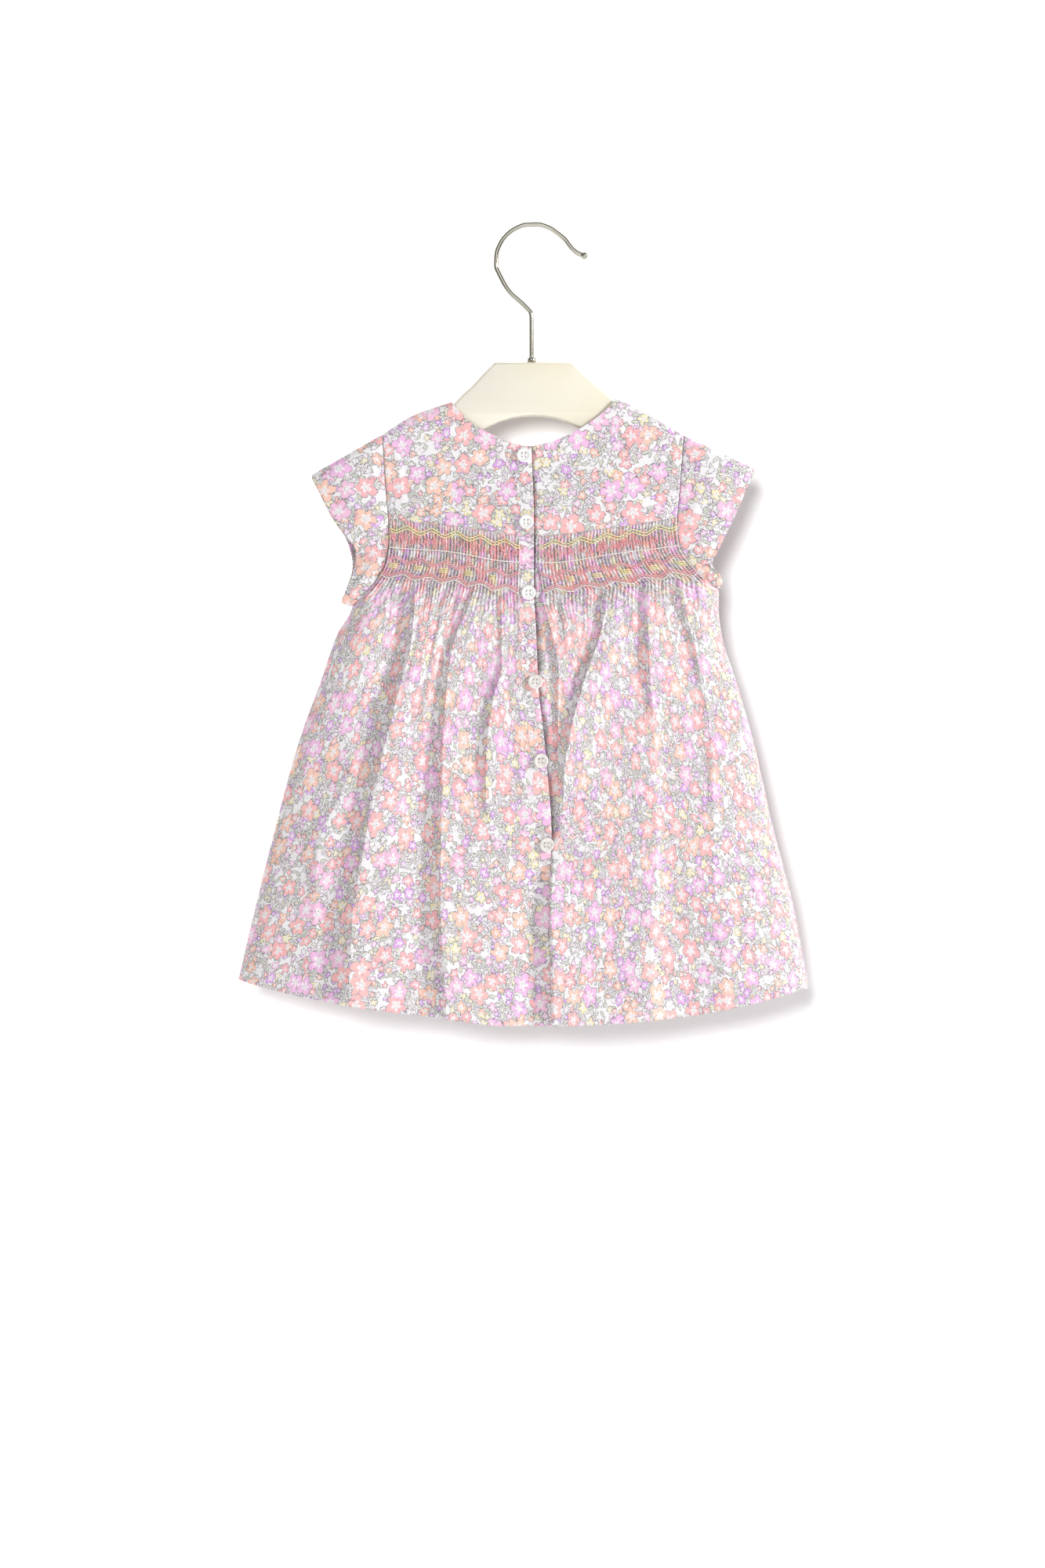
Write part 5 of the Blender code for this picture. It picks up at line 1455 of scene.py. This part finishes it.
def pearly(name, low, high, roughness, clearness):
    """Polished button stock: a hard gloss over a faint cloud of colour, clearer in thin shell."""
    material, tree, shader = new_material(name, low, low, roughness, ior=1.53)
    place = add(tree, "ShaderNodeTexCoord").outputs["Object"]
    cloud = add(tree, "ShaderNodeTexNoise", Vector=place, Scale=260.0, Detail=2.0).outputs[0]
    tone = blend(tree, between(tree, cloud, 0.4, 0.62), colour(low), colour(high))
    tree.links.new(tone, shader.inputs["Base Color"])
    shader.inputs["Coat Weight"].default_value = 0.4
    shader.inputs["Subsurface Weight"].default_value = clearness
    shader.inputs["Subsurface Radius"].default_value = (0.002, 0.0016, 0.0014)
    return material


WHITE_BUTTON = pearly("white casein button", "#FDFDFC", "#F6F5F3", 0.28, 0.1)
SHELL_BUTTON = pearly("thin shell button", "#F2EEEA", "#E4DDD8", 0.22, 0.25)
low_corner, high_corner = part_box("button_1")
form = button_form((high_corner.x - low_corner.x) / 2, high_corner.y - low_corner.y)
buttons = []
button_threads = []
for number in range(1, 7):
    low_corner, high_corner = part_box(f"button_{number}")
    middle = (low_corner + high_corner) / 2
    mesh = form.copy()
    mesh.transform(Matrix.Translation((middle.x, high_corner.y, middle.z)))
    mesh.materials.clear()
    mesh.materials.append(WHITE_BUTTON if number < 4 else SHELL_BUTTON)
    made = bpy.data.objects.new(f"turned_button_{number}", mesh)
    scene.collection.objects.link(made)
    buttons.append(made)
    face_y = (high_corner.y - 0.8 * (high_corner.y - low_corner.y)) / MM
    for across in (-HOLE_SPREAD, HOLE_SPREAD):
        for beside in (-0.2, 0.2):
            x, z = middle.x / MM + across + beside, middle.z / MM
            ups = (-HOLE_SPREAD, -HOLE_SPREAD * 0.75, HOLE_SPREAD * 0.75, HOLE_SPREAD)
            stands = (0.9, -0.12, -0.12, 0.9)
            button_threads.append(np.array([(x, face_y + stand, z + up) for up, stand in zip(ups, stands)]))
button_thread = spun("button_thread", button_threads, 0.16, 6, CREAM)
print("buttons:", len(buttons), "with", len(buttons[0].data.polygons), "faces each")

# %% [markdown]
# The hanger's solid already has the right outline, with its moulded round edges. A merged copy of it is
# shaded smooth, and the edges that are really sharp stay so. Its plastic is a satin cream with a soft,
# uneven tone. The wire is drawn again as a finer tube.

# %% The hanger


def smooth_copy(name, node, angle):
    """A merged and smoothly shaded copy of a solid."""
    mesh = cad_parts[node].data.copy()
    work = bmesh.new()
    work.from_mesh(mesh)
    bmesh.ops.remove_doubles(work, verts=work.verts, dist=0.000002)
    work.to_mesh(mesh)
    work.free()
    mesh.shade_smooth()
    mesh.set_sharp_from_angle(angle=math.radians(angle))
    made = bpy.data.objects.new(name, mesh)
    scene.collection.objects.link(made)
    return made


def moulded_plastic():
    """Injection-moulded polystyrene in cream: satin, with a fine even grain from the mould."""
    material, tree, shader = new_material("cream moulded polystyrene", "#F9F3DF", "#F8F1DC", 0.42, ior=1.59)
    place = add(tree, "ShaderNodeTexCoord").outputs["Object"]
    cloud = add(tree, "ShaderNodeTexNoise", Vector=place, Scale=14.0, Detail=2.0).outputs[0]
    tone = blend(tree, between(tree, cloud, 0.35, 0.65), colour("#F8F1DA"), colour("#FBF6E6"))
    tree.links.new(tone, shader.inputs["Base Color"])
    grain = add(tree, "ShaderNodeTexNoise", Vector=place, Scale=2600.0, Detail=2.0).outputs[0]
    bump = add(tree, "ShaderNodeBump", Height=grain, Strength=0.08, Distance=0.00005)
    tree.links.new(bump.outputs[0], shader.inputs["Normal"])
    shader.inputs["Subsurface Weight"].default_value = 0.08
    shader.inputs["Subsurface Radius"].default_value = (0.003, 0.0025, 0.0018)
    return material


def bright_chrome():
    """Chromed steel wire: a mirror with faint drawing marks that soften it a little."""
    material, tree, shader = new_material("bright chromed wire", "#A9A79F", "#B4B1A6", 0.09, metallic=1.0)
    place = add(tree, "ShaderNodeTexCoord").outputs["Object"]
    marks = add(tree, "ShaderNodeTexNoise", Vector=place, Scale=900.0, Detail=2.0).outputs[0]
    rough = add(tree, "ShaderNodeMapRange", Value=marks, To_Min=0.05, To_Max=0.16).outputs[0]
    tree.links.new(rough, shader.inputs["Roughness"])
    return material


CHROME = bright_chrome()
hanger = smooth_copy("cream_hanger", "hanger_body", 32)
hanger.data.materials.clear()
hanger.data.materials.append(moulded_plastic())
collar = smooth_copy("bright_collar", "hook_collar", 40)
collar.data.materials.clear()
collar.data.materials.append(CHROME)

# %% [markdown]
# The hook is one bent wire with a ball turned on its end. A curve with a round bevel follows its middle
# line, and the curve's radius swells into the ball.

# %% The hook
WIRE, HOOK_RADIUS, BALL = 3.2, 23.8, 4.6
HOOK_STEM = ((-1.0, -86.2), (-1.0, -60.0), (-1.2, -56.0), (-5.0, -51.0), (-15.5, -41.0), (-21.0, -31.5))
HOOK_TIP = ((20.3, -8.2), (24.8, -14.0), (28.4, -16.9), (34.9, -19.2))


def hook_wire():
    arc = []
    for turn in np.radians(np.linspace(186.0, 48.4, 9)):
        arc.append((HOOK_RADIUS * math.cos(turn), WIRE / 2 - HOOK_RADIUS + HOOK_RADIUS * math.sin(turn)))
    route = np.array(HOOK_STEM + tuple(arc) + HOOK_TIP)
    run = np.concatenate([[0], np.cumsum(np.linalg.norm(np.diff(route, axis=0), axis=1))])
    ball = run[-1] - BALL / 2 * (1 - np.cos(np.radians(np.linspace(132, 6, 12))))
    at = np.concatenate([[0, 20], np.linspace(26, run[-1] - BALL, 130), ball])
    x, z = (smooth_value(run, route[:, number], at) for number in (0, 1))
    radii = np.full(len(at), WIRE / 2)
    from_centre = ball - (run[-1] - BALL / 2)
    radii[-len(ball):] = np.sqrt(np.clip((BALL / 2) ** 2 - from_centre**2, 0, None))
    curve = bpy.data.curves.new("hook_wire", "CURVE")
    curve.dimensions = "3D"
    curve.bevel_depth = WIRE / 2 * MM
    curve.bevel_resolution = 6
    curve.use_fill_caps = True
    spline = curve.splines.new("POLY")
    spline.points.add(len(at) - 1)
    for point, px, pz, radius in zip(spline.points, x, z, radii):
        point.co = (px * MM, 0, pz * MM, 1)
        point.radius = radius / (WIRE / 2)
    rough = bpy.data.objects.new("hook_line", curve)
    scene.collection.objects.link(rough)
    graph = bpy.context.evaluated_depsgraph_get()
    mesh = bpy.data.meshes.new_from_object(rough.evaluated_get(graph))
    bpy.data.objects.remove(rough)
    mesh.shade_smooth()
    mesh.materials.append(CHROME)
    made = bpy.data.objects.new("bright_hook", mesh)
    scene.collection.objects.link(made)
    return made


hook = hook_wire()
print("hook", len(hook.data.polygons), "faces")

# %% [markdown]
# Every piece rides on the one body that the dress and the hanger make. Each shell now stands for its
# solid, which stays in the physics. Each piece of cloth is listed with the size that was cut for what
# shows of it, before it was gathered and sewn.

# %% Bodies, with sheets and slots listed
SHEETS = (
    (skirt_shells[0], "back_skirt_left", (0.21, 0.31), "gathered", yoke_shells[0]),
    (skirt_shells[1], "back_skirt_right", (0.21, 0.31), "gathered", yoke_shells[1]),
    (skirt_shells[2], "front_skirt", (0.42, 0.31), "gathered", yoke_shells[2]),
    (yoke_shells[0], "back_yoke_left", (0.096, 0.088), "hung", hanger),
    (yoke_shells[1], "back_yoke_right", (0.112, 0.088), "hung", hanger),
    (yoke_shells[2], "front_yoke", (0.192, 0.088), "hung", hanger),
    (sleeve_shells[0], "sleeve_left", (0.19, 0.045), "hung", hanger),
    (sleeve_shells[1], "sleeve_right", (0.18, 0.045), "hung", hanger),
)
standing = [(made, node, "printed_poplin") for made, node, _, _, _ in SHEETS]
standing += [(made, f"button_{number}", "pearly_button") for number, made in enumerate(buttons, 1)]
standing += [(hanger, "hanger_body", "cream_moulded_hanger"), (hook, "hanger_hook", "chromed_wire")]
standing += [(collar, "hook_collar", "chromed_wire")]
for made, node, slot in standing:
    made.name = made.name.replace(" ", "_")
    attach(made, "root")
    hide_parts(node)
sewn_on = [*embroidery, topstitching, button_thread]
for made in sewn_on:
    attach(made, "root")
for made in [item[0] for item in standing] + sewn_on:
    dress_group.objects.link(made)
print(len(SHEETS), "sheets of cloth,", len(standing), "pieces for solids,", len(sewn_on), "sewn on")

# %% [markdown]
# A white wall stands close behind the dress and runs down into a pale floor in one sweep, as in a
# photographer's cove. Seen from behind, the wall lets the view through, so that the dress can be looked
# at from all sides.

# %% The cove
WALL_BEHIND = 0.046
FLOOR = -1.15
COVE_ROUND = 0.35


def cove():
    rows = [(WALL_BEHIND, 0.9)]
    for turn in np.radians(np.linspace(0, 90, 13)):
        rows.append((WALL_BEHIND - COVE_ROUND * (1 - math.cos(turn)), FLOOR + COVE_ROUND * (1 - math.sin(turn))))
    rows.append((-3.0, FLOOR))
    points = [(x, y, z) for y, z in rows for x in (-2.2, 2.2)]
    faces = [(2 * i, 2 * i + 2, 2 * i + 3, 2 * i + 1) for i in range(len(rows) - 1)]
    mesh = bpy.data.meshes.new("cove")
    mesh.from_pydata(points, [], faces)
    mesh.shade_smooth()
    made = bpy.data.objects.new("cove", mesh)
    scene.collection.objects.link(made)
    cove_group.objects.link(made)
    material, tree, shader = new_material("white studio paint", "#FFFFFF", "#FDFDFD", 0.95)
    shader.inputs["Specular IOR Level"].default_value = 0.0
    behind = add(tree, "ShaderNodeNewGeometry").outputs["Backfacing"]
    clear = add(tree, "ShaderNodeBsdfTransparent").outputs[0]
    mixed = add(tree, "ShaderNodeMixShader", i0=behind, i1=shader.outputs[0], i2=clear).outputs[0]
    tree.links.new(mixed, tree.nodes["Material Output"].inputs["Surface"])
    mesh.materials.append(material)
    return made


studio = cove()
